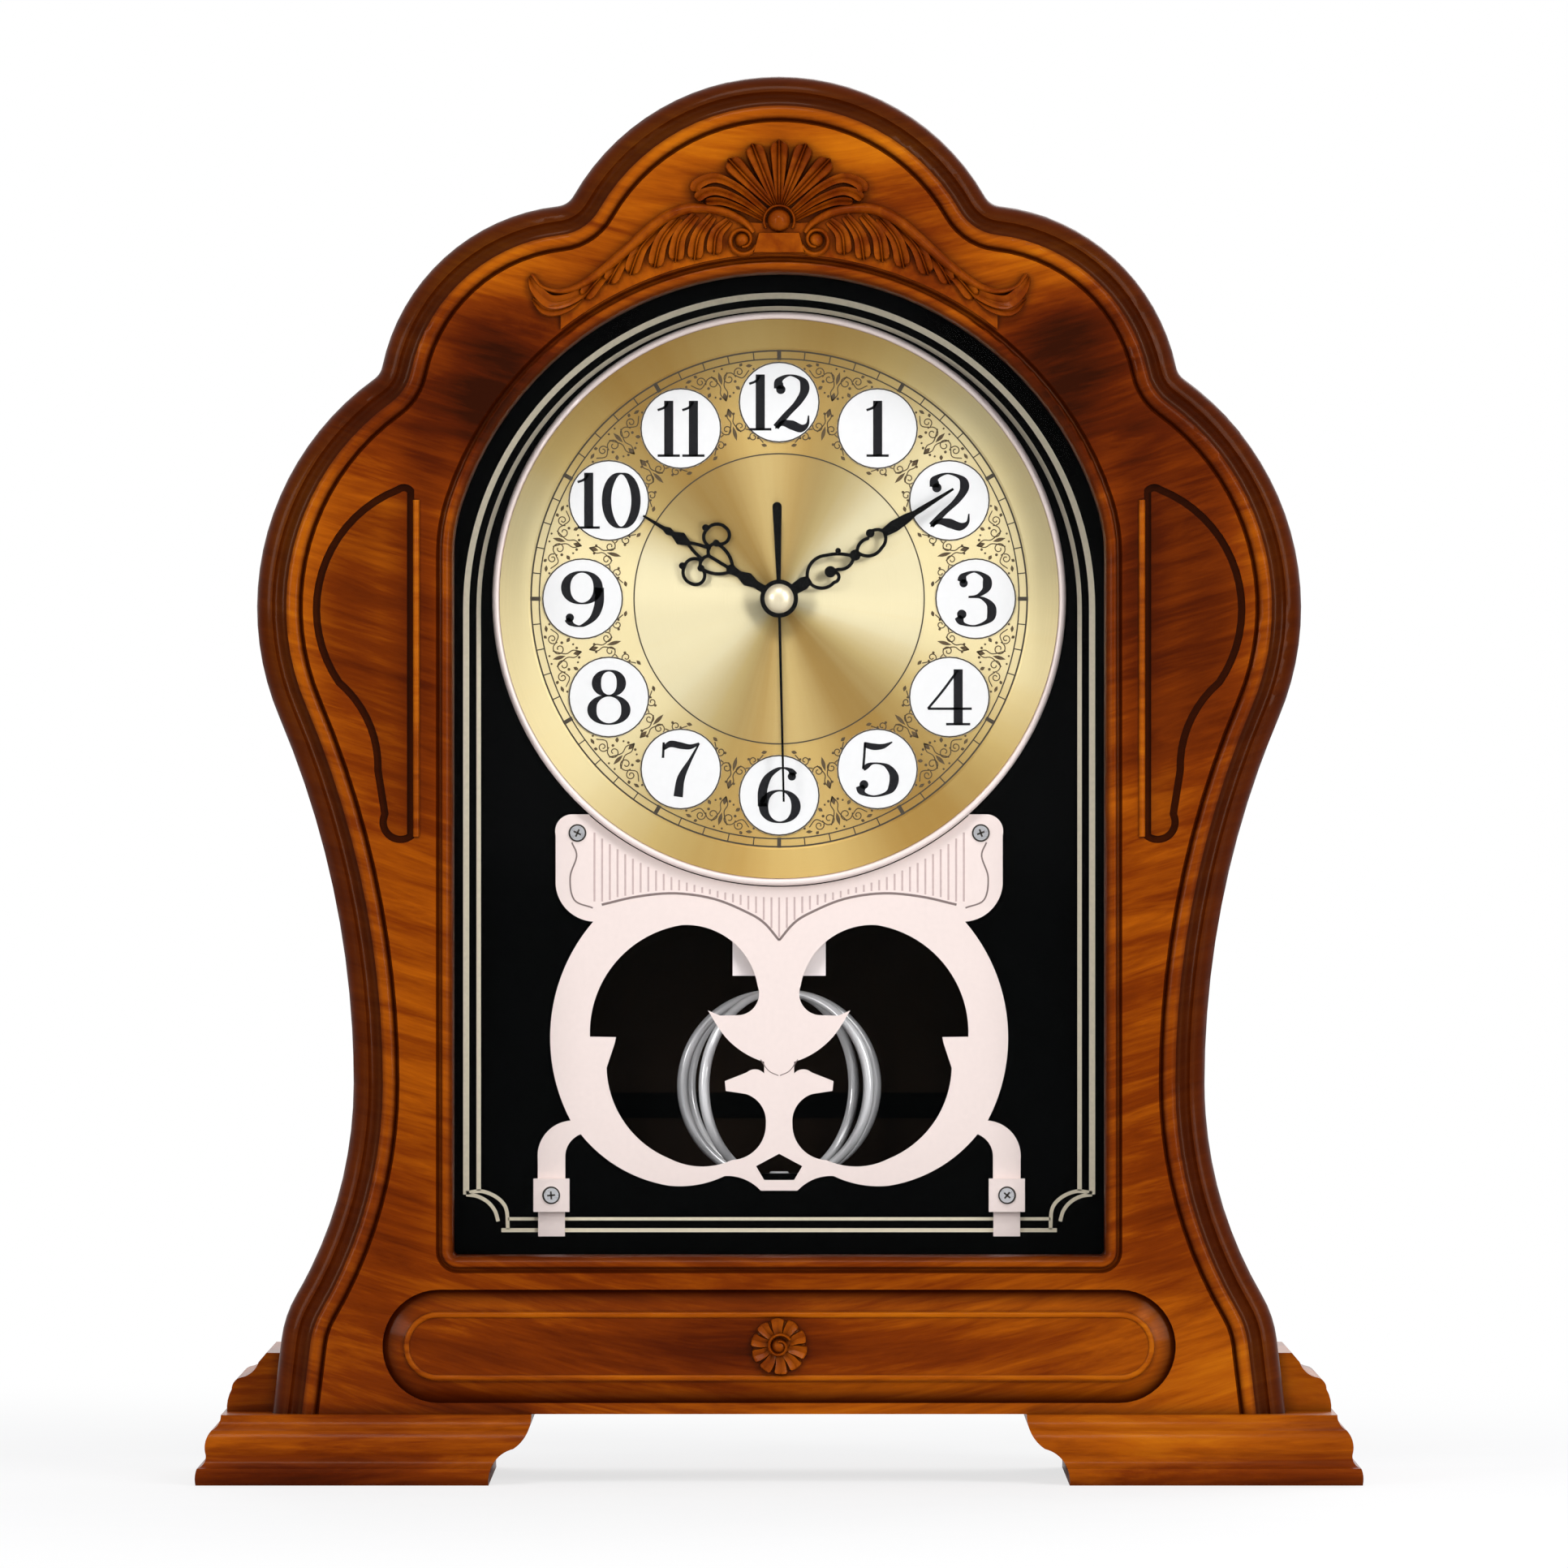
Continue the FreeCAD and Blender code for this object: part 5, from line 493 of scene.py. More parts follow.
board_wood = wood("front board lacquer", board=True, places=SPRAYED)
carving_wood = wood("carving lacquer", grain=(70.0, 70.0, 70.0), occlusion_shade_reach=0.0020)
foot_wood = wood("foot lacquer", tone=-0.045, places=SPRAYED_FEET)
case_wood = wood("case lacquer", tone=0.14, lined=True)
# Painted highlight: the beads' lacquer is lighter than the board's, for a line of light along them
highlit_bead_wood = wood("bead lacquer with painted highlight", tone=-0.10)
print("wood finishes:", [m.name for m in (board_wood, carving_wood, foot_wood, case_wood, highlit_bead_wood)])

# %% [markdown]
# ### The back panel
# The back is thin board with a plain dark stain and hardly any gloss. Its grain runs up and down, as in
# a sheet cut along the veneer. Its inner face is black, like the whole inside of the case.

# %% Back board
PANEL_FACE = 0.0472  # depth of the panel's black inner face, in metres


def thin_board(name):
    finish = Finish(name, Roughness=0.55, Specular_IOR_Level=0.14, Specular_Tint=(1.0, 0.6, 0.35, 1.0))
    grain = finish.cloud((260.0, 260.0, 9.0), 5.0, 0.6, 0.4)
    cloud = finish.cloud((30.0, 30.0, 12.0), 2.0, 0.5)
    grain = finish.sum("MULTIPLY_ADD", grain, 0.7, finish.sum("MULTIPLY", cloud, 0.3))
    shade = finish.ramp(grain, (0.34, (0.050, 0.017, 0.006)), (0.66, (0.150, 0.060, 0.020)))
    _, depth, _ = finish.axes()
    inner = finish.ramp(depth, (PANEL_FACE, 1.0), (PANEL_FACE + 0.0001, 0.0))
    finish.colour(finish.mix(inner, shade, (0.004, 0.004, 0.004)))
    finish.bump(grain, 0.12, 0.0003)
    return finish.material


back_board = thin_board("back board")

# %% [markdown]
# ### Black board, glass and hands
# The board behind the dial is the deepest black in the picture, so its finish reflects little. The
# window pane is nearly clear: a thin film of gloss over almost nothing. The hands are black enamel and
# the discs white enamel. Three inks print the numerals, the filigree and the minute track.

# %% Black and clear
def plain(name, colour, roughness, speck=0.06, scale=900.0, **extra):
    """One colour with a slight uneven cast and a fine texture in its gloss."""
    finish = Finish(name, **extra)
    cloud = finish.cloud(scale, 3.0, 0.55)
    darker = tuple(part * (1 - speck) for part in colour)
    lighter = tuple(min(1.0, part * (1 + speck)) for part in colour)
    finish.colour(finish.ramp(cloud, (0.3, darker), (0.7, lighter)))
    finish.rough(cloud, roughness * 0.85, roughness * 1.15)
    return finish.material


black_lacquer = plain("black board", (0.0, 0.0, 0.0), 0.32, Specular_IOR_Level=0.025)
hand_enamel = plain("hand enamel", (0.002, 0.002, 0.002), 0.24, Specular_IOR_Level=0.12)
window_clear = plain("window glass", (0.004, 0.005, 0.005), 0.03, speck=0.02, Alpha=0.06,
                     Specular_IOR_Level=0.22)
white_enamel = plain("numeral disc", (0.885, 0.885, 0.88), 0.4, speck=0.015)
ink_black = plain("numeral ink", (0.006, 0.006, 0.008), 0.4, Specular_IOR_Level=0.2)
ink_brown = plain("filigree ink", (0.085, 0.05, 0.014), 0.5, speck=0.25, scale=400.0)
ink_track = plain("track ink", (0.045, 0.032, 0.016), 0.45, speck=0.2)
print("black and clear finishes ready")

# %% [markdown]
# ### The dial's metal
# A spun dial shows wedges of light from its centre, because the brush marks run in circles. The shader's
# anisotropy with a radial tangent gives such wedges from any lamp. Broad sectors of painted highlight
# run out from the middle too: the colour is pale gold along them and deeper gold, painted shade, between.

# %% Spun metal
SHADED_GOLD = (0.62, 0.39, 0.118)
FULL_GOLD = (0.80, 0.615, 0.27)
HIGHLIGHT_GOLD = (0.86, 0.765, 0.49)
# Painted highlight sectors: the angle of their middle in degrees, and how narrow they are
BROAD_HIGHLIGHT, NARROW_HIGHLIGHT = (14, 2.0), (97, 26.0)
INNER_FIELD, PRINTED_FIELD = (0.88, 0.88, 0.88), (0.92, 0.89, 0.80)


def spun(name, zones, roughness, anisotropy):
    """Metal with marks that run round the dial and sectors of painted highlight; zones are pairs of a radius
    in millimetres and a tint.
    """
    finish = Finish(name, Metallic=1.0, Anisotropic=anisotropy, Anisotropic_Rotation=0.25)
    across, _, up = finish.axes()
    rise = finish.sum("SUBTRACT", up, DIAL_UP / 1000)
    reach = finish.distance(across, rise)
    along, over = finish.sum("DIVIDE", across, reach), finish.sum("DIVIDE", rise, reach)

    def wedge(degrees, power):
        """One on the two rays at this angle, falling to zero a quarter turn away."""
        turned = finish.sum("MULTIPLY_ADD", along, math.cos(math.radians(degrees)),
                            finish.sum("MULTIPLY", over, math.sin(math.radians(degrees))))
        return finish.sum("POWER", finish.sum("ABSOLUTE", turned), power)

    # Painted highlight: the colour turns pale along two pairs of wedges, streaked by noise along the rays,
    # and deep gold between
    broad = finish.span(wedge(*BROAD_HIGHLIGHT), 0.14, 0.74)
    light = finish.sum("MULTIPLY_ADD", wedge(*NARROW_HIGHLIGHT), 0.36, broad)
    rays = finish.noise(finish.joined(along, 0.0, over), 3.0, 7.0, 0.7)
    light = finish.sum("ADD", light, finish.sum("MULTIPLY_ADD", rays, 0.5, -0.25), clamp=True)
    rings = finish.node("ShaderNodeTexNoise", {"W": finish.sum("MULTIPLY", reach, 5200.0), "Scale": 1.0,
                                               "Detail": 3.0}, noise_dimensions="1D").outputs[0]
    base = finish.ramp(light, (0.0, SHADED_GOLD), (0.5, FULL_GOLD), (1.0, HIGHLIGHT_GOLD))
    tint = finish.ramp(finish.sum("DIVIDE", reach, zones[-1][0] / 1000),
                       *[(radius / zones[-1][0], colour) for radius, colour in zones])
    base = finish.mix(1.0, base, tint, "MULTIPLY")
    finish.colour(finish.mix(1.0, base, finish.ramp(rings, (0.3, 0.93), (0.7, 1.0)), "MULTIPLY"))
    finish.rough(rings, roughness * 0.92, roughness * 1.1)
    turn = finish.node("ShaderNodeTangent", direction_type="RADIAL", axis="Y")
    finish.feed(finish.shader.inputs["Tangent"], turn.outputs[0])
    return finish.material


dial_gold = spun("spun dial", (
    (0.0, INNER_FIELD), (35.6, INNER_FIELD), (36.2, PRINTED_FIELD), (60.8, (0.94, 0.90, 0.80)),
    (61.6, (1.0, 0.96, 0.84)), (70.0, (1.0, 0.94, 0.80))), 0.45, 0.90)
cap_gold = plain("hand cap", (0.88, 0.78, 0.55), 0.34, speck=0.03, Metallic=0.5)
rose_satin = plain("rose metal", (0.93, 0.795, 0.75), 0.42, speck=0.02, Metallic=0.2,
                   Specular_IOR_Level=0.4)
line_gold = plain("gold line", (0.84, 0.75, 0.56), 0.4)

# %% [markdown]
# ### Small parts
# Steel, brass, copper wire, plastics and the board inside the movement each need one plain finish. They
# are mostly seen when the door at the back stands open.

# %% Small parts' finishes
chrome = plain("chrome bars", (0.97, 0.97, 0.98), 0.2, speck=0.01, Metallic=0.18)
steel = plain("bright steel", (0.62, 0.62, 0.64), 0.28, Metallic=1.0)
brass = plain("brass", (0.68, 0.48, 0.18), 0.33, Metallic=1.0)
zinc = plain("yellow zinc", (0.55, 0.46, 0.27), 0.3, speck=0.12, Metallic=1.0)
copper = plain("copper wire", (0.50, 0.20, 0.09), 0.35, speck=0.2, Metallic=0.8)
black_plastic = plain("black plastic", (0.018, 0.018, 0.019), 0.5, speck=0.15)
white_plastic = plain("white nylon", (0.78, 0.77, 0.72), 0.45)
rose_plastic = plain("rose plastic", (0.95, 0.86, 0.84), 0.35, speck=0.01)
green_board = plain("circuit board", (0.02, 0.11, 0.04), 0.35, speck=0.2)
cell_sleeve = plain("battery sleeve", (0.035, 0.05, 0.085), 0.3, speck=0.1, Metallic=0.4)
slot_shadow = plain("screw slot shade", (0.03, 0.022, 0.015), 0.6, speck=0.1)

# %% [markdown]
# ## Dress the CAD pieces
# Every CAD piece keeps its shape and gets its finish here. A list by finish is easier to check than one
# call for each piece.

# %% Dress them
DRESS = (
    (board_wood, ("front_board",)),
    (foot_wood, ("base_board", "left_foot", "right_foot")),
    (case_wood, ("left_side", "right_side", "arch_top")),
    (carving_wood, ("crest_carving", "rosette")),
    (back_board, ("back_panel", "back_door", "door_pull")),
    (window_clear, ("window_glass",)),
    (black_lacquer, ("dial_board", "window_liner")),
    (dial_gold, ("dial_plate",)),
    (rose_satin, ("dial_bezel", "fret_plate", "fret_feet")),
    (white_enamel, ("numeral_discs",)),
    (hand_enamel, ("hour_hand", "minute_hand", "second_hand")),
    (cap_gold, ("hand_cap",)),
    (chrome, ("pendulum_strands", "pendulum_hubs")),
    (steel, ("pendulum_axle", "pendulum_magnet", "stator", "quartz_crystal", "battery_contacts",
             "fret_screws")),
    (brass, ("centre_washer", "centre_nut", "pendulum_bush", "panel_hinge_leaves", "door_hinge_leaves",
             "hinge_pins", "door_latch")),
    (zinc, ("dial_board_screws", "drive_screws", "back_panel_screws", "foot_screws", "latch_screw")),
    (copper, ("motor_coil", "drive_coil")),
    (black_plastic, ("movement_case", "movement_cover")),
    (white_plastic, ("hour_wheel", "centre_wheel", "motion_wheel", "third_wheel", "second_wheel",
                     "fifth_wheel", "stepper_rotor", "setting_knob")),
    (rose_plastic, ("drive_housing", "drive_lid")),
    (green_board, ("circuit_board",)),
    (cell_sleeve, ("batteries",)),
)


for finish, names in DRESS:
    for node in names:
        painted = nodes[node].data.materials
        painted.clear()
        painted.append(finish)
print("dressed:", sum(len(names) for _, names in DRESS), "of", len(nodes))

# %% [markdown]
# ## The carved crest
# A carver works the crest from one strip of wood: a fan of hollowed flutes on top, a bead and a block
# under it, and on each side a long wing that ends in an upturned tip. Each flute and leaf is a ridge
# with a scooped middle, laid close beside the next. They all lie over a thin ground, so no gap shows.

# %% Crest helpers
PETAL_TIP = 0.2


def petal_widths(count, width, root):
    """Half widths of a petal: narrow at the root, full near the end, round at the tip."""
    widths = []
    for index in range(count):
        t = index / (count - 1)
        grown = root + (1 - root) * t ** 0.8
        ending = math.sqrt(max(0.0, 1 - max(0.0, (t - (1 - PETAL_TIP)) / PETAL_TIP) ** 2))
        widths.append(max(0.02, width * grown * ending))
    return widths


def petal(work, points, width, height, root, hollow):
    """One scooped flute along a bent line."""
    path = flowing(points, 7)
    count = len(path)
    widths = petal_widths(count, width, root)
    heights = [height * (0.55 + 0.45 * index / (count - 1)) * (1.0 if index < count - 1 else 0.2)
               for index in range(count)]
    ridge(work, path, widths, heights, hollow)


# %% Carve the crest
crest = Workpiece()
SHELL_HUB = (0.0, 311.4)
# Each flute: angle from upright, length, half width
FLUTES = ((43.5, 18.2, 2.9), (21.5, 18.2, 2.9), (0, 17.9, 2.8), (-21.5, 18.2, 2.9), (-43.5, 18.2, 2.9))


def fluted(work, bend, width, height, root):
    """A scooped petal with a fine raised vein along its middle."""
    petal(work, bend, width, height, root, 0.5)
    path = flowing(bend, 7)
    count = len(path)
    ridge(work, path, [width * 0.2 * math.sin(math.pi * (0.12 + 0.8 * i / count)) for i in range(count)],
          [height * (0.5 + 0.36 * i / count) for i in range(count)])


for angle, reach, width in FLUTES:
    bend = [spoke(SHELL_HUB, part * reach, 90 + angle) for part in (0.12, 0.55, 1.0)]
    fluted(crest, bend, width, 3.2, 0.2)
LOW_FLUTES = (
    (((3.0, 311.6), (9.6, 317.2), (15.4, 319.8), (19.8, 318.4), (20.6, 316.2)), 1.9),
    (((3.4, 310.4), (9.4, 314.4), (15.0, 316.6), (18.6, 316.0), (20.4, 314.4)), 1.7),
    (((4.0, 309.6), (9.0, 312.2), (14.0, 314.0), (18.4, 314.0)), 1.3),
)
for side in (1, -1):
    for bend, width in LOW_FLUTES:
        petal(crest, to_side(side, bend), width, 2.8, 0.35, 0.4)
SHELL_BEAD = (0, 309.4)
dome(crest, SHELL_BEAD, 3.0, 3.5, 8, 32)
ridge(crest, around(SHELL_BEAD, 3.7, -30, 210, 24), [0.45] * 25, [1.9] * 25)
print("crest fan:", len(crest.points), "points")

# %% Block, scrolls and wings
SCROLL_ACROSS, SCROLL_UP = 9.0, 304.6
LEAVES = (
    ((12.2, 309.4), (15.3, 306.1), (16.0, 300.9)), ((16.2, 310.6), (19.7, 305.7), (20.8, 299.6)),
    ((20.4, 310.8), (24.3, 305.7), (25.4, 299.2)), ((24.4, 310.2), (28.7, 304.7), (30.6, 297.7)),
    ((28.6, 308.4), (33.7, 303.1), (36.6, 296.0)), ((33.0, 305.0), (38.3, 300.1), (42.0, 293.8)),
    ((37.8, 300.9), (43.5, 295.9), (48.2, 290.2)),
)
WING_EDGE = (
    (6.4, 306.4), (8.6, 309.0), (13.0, 311.4), (18.4, 312.4), (23.6, 312.0), (29.0, 309.4),
    (34.4, 304.8), (39.6, 300.1), (44.4, 296.2), (49.5, 293.0), (54.0, 292.0), (58.2, 293.2),
    (60.6, 296.2),
)
WING_TIPS = (
    (((43.6, 295.2), (49.6, 290.9), (55.6, 289.4), (59.6, 292.6), (61.2, 295.6)), 1.7),
    (((47.0, 291.6), (52.0, 288.2), (57.0, 287.4), (60.4, 290.2)), 1.2),
)
for side in (1, -1):
    scroll = to_side(side, spiral((SCROLL_ACROSS, SCROLL_UP), 3.7, 1.6, -160, 1.2))
    ridge(crest, scroll, [0.8 - 0.008 * i for i in range(len(scroll))],
          [2.3 + 0.02 * i for i in range(len(scroll))])
    dome(crest, (side * SCROLL_ACROSS, SCROLL_UP), 2.0, 3.3, 8, 28)
    for bend in LEAVES:
        fluted(crest, to_side(side, bend), 2.55, 2.7, 0.5)
    edge = flowing(to_side(side, WING_EDGE), 6)
    count = len(edge)
    ridge(crest, edge, [0.55 + 0.95 * math.sin(math.pi * min(1.0, 0.1 + i / count)) for i in range(count)],
          swelling(count, 2.0, 1.3))
    for points, wide in WING_TIPS:
        tail = flowing(to_side(side, points), 6)
        ridge(crest, tail, swelling(len(tail), 0.35, wide), swelling(len(tail), 1.2, 1.3), 0.35)
print("crest with wings:", len(crest.points), "points")

# %% Ground of the crest
def ground(work, upper, lower, thickness):
    """A thin plate between an upper and a lower line with the same number of points."""
    face = board_front - thickness
    work.sections([[(ux, board_front, uz), (ux, face, uz), (lx, face, lz), (lx, board_front, lz)]
                   for (ux, uz), (lx, lz) in zip(upper, lower)], True)


GROUND_EDGE = ((0.1, 309.0), (7.4, 309.0), (14.0, 311.8), (22.9, 312.2), (29.0, 309.4), (39.2, 300.4),
               (46.1, 294.8), (53.5, 291.2))
GROUND_REACH = 86.6  # its lower line is an arc round the window's arch
for side in (1, -1):
    upper = flowing(to_side(side, GROUND_EDGE), 6)
    lower = [(x, ARCH_UP + math.sqrt(GROUND_REACH ** 2 - x * x)) for x, _ in upper]
    ground(crest, upper, lower, 0.9)
block = [(-6.6, 301.4), (6.6, 301.4), (5.2, 306.6), (-5.2, 306.6)]
crest.add([(x, board_front, z) for x, z in block]
          + [(x * 0.93, board_front - 2.4, 304 + (z - 304) * 0.9) for x, z in block],
          [[0, 1, 5, 4], [1, 2, 6, 5], [2, 3, 7, 6], [3, 0, 4, 7], [4, 5, 6, 7]])
crest_piece = crest.make("crest_carved", "case", carving_wood, smooth=True)
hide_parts("crest_carving")

# %% [markdown]
# ## Beads round the sunk fields
# A fine half-round bead runs inside the groove of the low field, and another stands along the straight
# side of each pear-shaped field. They catch a line of light that the groove alone would not give, and
# their lacquer is lighter than the board's, a painted highlight.

# %% Beads
beads = Workpiece()
FIELD_UP = 33.6
FIELD_HALF = 7.7
FIELD_END = 83.6
BEAD_STEPS = 8
low_field = [(x, FIELD_UP + FIELD_HALF) for x in (-60, -20, 20, 60)]
low_field += around((FIELD_END, FIELD_UP), FIELD_HALF, 90, -90, 18)
low_field += [(x, FIELD_UP - FIELD_HALF) for x in (60, 20, -20, -60)]
low_field += around((-FIELD_END, FIELD_UP), FIELD_HALF, 270, 90, 18)


def bead(path, half, height, closed=False):
    """A half-round bead with its foot in the board."""
    arc = [(half * x, height * z) for x, z in around((0, 0), 1, 0, 180, BEAD_STEPS)]
    rings = [[(x + nx * out, board_front - rise, z + nz * out) for out, rise in arc]
             for (x, z), (nx, nz) in zip(path, sideways(path, closed))]
    beads.sections(rings, False, closed)


bead(low_field, 0.7, 0.5, closed=True)
for side in (1, -1):
    bead([(side * 88.9, z) for z in (158.5, 180, 200, 220, 241)], 0.8, 0.9)
beads.make("board_beads", "case", highlit_bead_wood, smooth=True)

# %% [markdown]
# ## The rosette
# The flower in the low panel is turned and carved: a dished disc, a ring of round petals that overlap a
# little, and a button with a swirl. Petals are the same scooped ridges as in the crest.

# %% Rosette
ROSETTE = (0, FIELD_UP)
flower = Workpiece()
dome(flower, ROSETTE, 6.3, 0.8, 4, 40)
for number in range(10):
    angle = 36 * number + 18
    bend = [spoke(ROSETTE, radius, angle + lean) for radius, lean in ((2.4, 0), (4.6, 5), (7.0, 3))]
    petal(flower, bend, 2.0, 2.0, 0.45, 0.45)
dome(flower, ROSETTE, 2.3, 2.2, 5, 28)
swirl = spiral(ROSETTE, 3.1, 1.2, 30, 1.2)
ridge(flower, swirl, [0.5] * len(swirl), [2.5] * len(swirl))
rosette_piece = flower.make("rosette_carved", "case", carving_wood, smooth=True)
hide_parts("rosette")

# %% [markdown]
# ## Lines on the black board
# Two fine gold lines follow the arch and the sides. From the foot of the outer one, two curves sweep
# inward at each corner, down to two level lines. They are printed, so each is a very thin strip.

# %% Gold lines
lines = Workpiece()


def arch_line(reach, start_up, half_width):
    """Up one side, round the arch and down the other."""
    path = [(reach, start_up + (ARCH_UP - start_up) * i / 6) for i in range(6)]
    path += around((0, ARCH_UP), reach, 0, 180, 72)
    path += [(-reach, ARCH_UP - (ARCH_UP - start_up) * (i + 1) / 6) for i in range(6)]
    strip(lines, path, half_width, black_front)


arch_line(77.3, 70.0, 0.75)
arch_line(74.2, 71.0, 0.55)
CORNER_CURVES = (
    ((77.3, 70.0), (74.6, 69.6), (72.0, 68.2), (70.2, 66.0), (69.4, 63.4)),
    ((77.3, 70.4), (73.4, 70.8), (69.6, 69.2), (67.4, 66.4), (67.0, 61.4)),
)
for side in (1, -1):
    for curve in CORNER_CURVES:
        strip(lines, flowing(to_side(side, curve), 6), 0.45, black_front)
strip(lines, [(-68.6, 61.2), (68.6, 61.2)], 0.5, black_front)
strip(lines, [(-67.0, 64.0), (67.0, 64.0)], 0.4, black_front)
lines.make("board_lines", "case", line_gold)

# %% [markdown]
# ## Numerals
# The numerals have the strong upright strokes and hairline curves of a broad nib held level. So each is
# written with a pen whose width follows the stroke's direction: full where it runs upright and thin
# where it runs level. Balls end the curves, and short bars foot the stems.

# %% The pen
NUMERAL_HEIGHT = 13.7
PEN_THICK, PEN_THIN = 0.084, 0.015  # shares of the height, as all widths in the strokes below
EVEN_WIDTHS = {"stem": (0.082, 0.082), "hair": (0.022, 0.022)}
OVAL_STEPS = 14


def pen(work, points, wide, closed=False, widths=None):
    """Writes one stroke of a numeral; points are in a box one unit high, wide stretches it sideways."""
    line = flowing(points, 9, closed) if len(points) > 2 else points
    path = [(x * NUMERAL_HEIGHT * wide, z * NUMERAL_HEIGHT) for x, z in line]
    if widths is None:
        halves = [NUMERAL_HEIGHT * (PEN_THIN + (PEN_THICK - PEN_THIN) * abs(nx) ** 1.7)
                  for nx, _ in sideways(path, closed)]
    else:
        halves = []
        for index in range(len(path)):
            place = index / (len(path) - 1) * (len(widths) - 1)
            low = min(int(place), len(widths) - 2)
            halves.append(NUMERAL_HEIGHT * (widths[low] + (widths[low + 1] - widths[low]) * (place - low)))
    strip(work, path, halves, disc_front, BOLD_PRINT, closed)


def ball(work, centre, radius, wide):
    middle = (centre[0] * NUMERAL_HEIGHT * wide, centre[1] * NUMERAL_HEIGHT)
    rim = circle(middle, radius * NUMERAL_HEIGHT, 24)
    work.sections([[(x, depth, z) for x, z in rim] for depth in (disc_front, disc_front - BOLD_PRINT)], True)


def oval(centre, across, up):
    return [(centre[0] + across * x, centre[1] + up * z) for x, z in circle((0, 0), 1, OVAL_STEPS)]


def upside_down(points):
    """Turns points of a numeral by half a turn."""
    return [(0.60 - x, 1.0 - z) for x, z in points]


# %% The strokes of each numeral
SIX_HOOK = ((0.50, 0.86), (0.42, 0.965), (0.30, 0.985), (0.15, 0.84), (0.075, 0.60), (0.07, 0.30))
STROKES = {
    "0": [("ring", oval((0.30, 0.50), 0.225, 0.485))],
    "1": [("stem", ((0.30, 0.0), (0.30, 1.0))), ("hair", ((0.30, 0.985), (0.22, 0.88), (0.10, 0.83))),
          ("hair", ((0.10, 0.012), (0.50, 0.012)))],
    "2": [("pen", ((0.10, 0.74), (0.12, 0.90), (0.28, 0.985), (0.46, 0.90), (0.50, 0.72), (0.40, 0.50),
                   (0.22, 0.27), (0.06, 0.05))),
          ("wave", ((0.05, 0.03), (0.16, 0.12), (0.30, 0.09), (0.44, 0.03), (0.54, 0.10), (0.56, 0.26)),
           (0.012, 0.05, 0.085, 0.075, 0.03, 0.012)), ("ball", (0.135, 0.73), 0.085)],
    "3": [("pen", ((0.12, 0.80), (0.17, 0.93), (0.31, 0.985), (0.45, 0.88), (0.46, 0.70), (0.36, 0.57),
                   (0.22, 0.53))),
          ("pen", ((0.22, 0.53), (0.40, 0.51), (0.52, 0.36), (0.50, 0.13), (0.32, 0.015), (0.15, 0.05),
                   (0.08, 0.18))),
          ("ball", (0.155, 0.78), 0.075), ("ball", (0.13, 0.22), 0.085)],
    "4": [("stem", ((0.42, 0.0), (0.42, 1.0))), ("hair", ((0.42, 0.99), (0.22, 0.62), (0.02, 0.29))),
          ("hair", ((0.02, 0.29), (0.60, 0.29))), ("hair", ((0.26, 0.012), (0.58, 0.012)))],
    "5": [("hair", ((0.14, 0.98), (0.13, 0.75), (0.115, 0.50))),
          ("wave", ((0.13, 0.94), (0.26, 0.90), (0.38, 0.91), (0.50, 0.985)), (0.05, 0.06, 0.045, 0.012)),
          ("pen", ((0.115, 0.50), (0.24, 0.60), (0.42, 0.56), (0.525, 0.36), (0.47, 0.11), (0.28, 0.012),
                   (0.12, 0.06), (0.07, 0.20))), ("ball", (0.125, 0.22), 0.08)],
    "6": [("pen", SIX_HOOK), ("ring", oval((0.30, 0.30), 0.215, 0.285)), ("ball", (0.46, 0.84), 0.075)],
    "7": [("wave", ((0.06, 0.86), (0.16, 0.95), (0.30, 0.92), (0.42, 0.90), (0.54, 0.96)),
           (0.03, 0.06, 0.06, 0.045, 0.02)), ("hair", ((0.06, 0.70), (0.07, 0.98))),
          ("wave", ((0.54, 0.96), (0.42, 0.66), (0.30, 0.34), (0.26, 0.0)), (0.014, 0.03, 0.07, 0.085))],
    "8": [("ring", oval((0.30, 0.75), 0.165, 0.225)), ("ring", oval((0.30, 0.27), 0.225, 0.255))],
}
STROKES["9"] = [(kind, upside_down([points])[0] if kind == "ball" else upside_down(points), *given)
                for kind, points, *given in STROKES["6"]]


def write(figure, wide):
    """Writes one numeral with its left foot near zero."""
    work = Workpiece()
    for kind, points, *given in STROKES[figure]:
        if kind == "ball":
            ball(work, points, given[0], wide)
        else:
            pen(work, points, wide, kind == "ring", given[0] if given else EVEN_WIDTHS.get(kind))
    return work


# %% Write the twelve hours
NUMERAL_RING = 48.5
NUMERAL_GAP = 0.5
WIDE_ALONE, WIDE_IN_PAIR = 1.36, 1.18  # sideways stretch of every figure but 1
numerals = Workpiece()
for hour in range(1, 13):
    middle = spoke((0, DIAL_UP), NUMERAL_RING, 90 - 30 * hour)
    figures = str(hour)
    written = []
    for figure in figures:
        wide = 1.0 if figure == "1" else (WIDE_ALONE if len(figures) == 1 else WIDE_IN_PAIR)
        written.append(write(figure, wide))
    spans = [(min(x for x, _, _ in work.points), max(x for x, _, _ in work.points)) for work in written]
    total = sum(high - low for low, high in spans) + NUMERAL_GAP * (len(figures) - 1)
    left = middle[0] - total / 2
    for work, (low, high) in zip(written, spans):
        numerals.add([(x + left - low, y, z + middle[1] - NUMERAL_HEIGHT / 2) for x, y, z in work.points],
                     work.faces)
        left += high - low + NUMERAL_GAP
numerals.make("numerals", "case", ink_black)

# %% [markdown]
# ## Minute track and filigree
# The printed ring has two thin circles joined by sixty strokes, with a bold mark at each hour. Between
# the discs lies a lacy ornament of little scrolls and leaves. One cluster is drawn for the gap between
# two hours and turned twelve times.

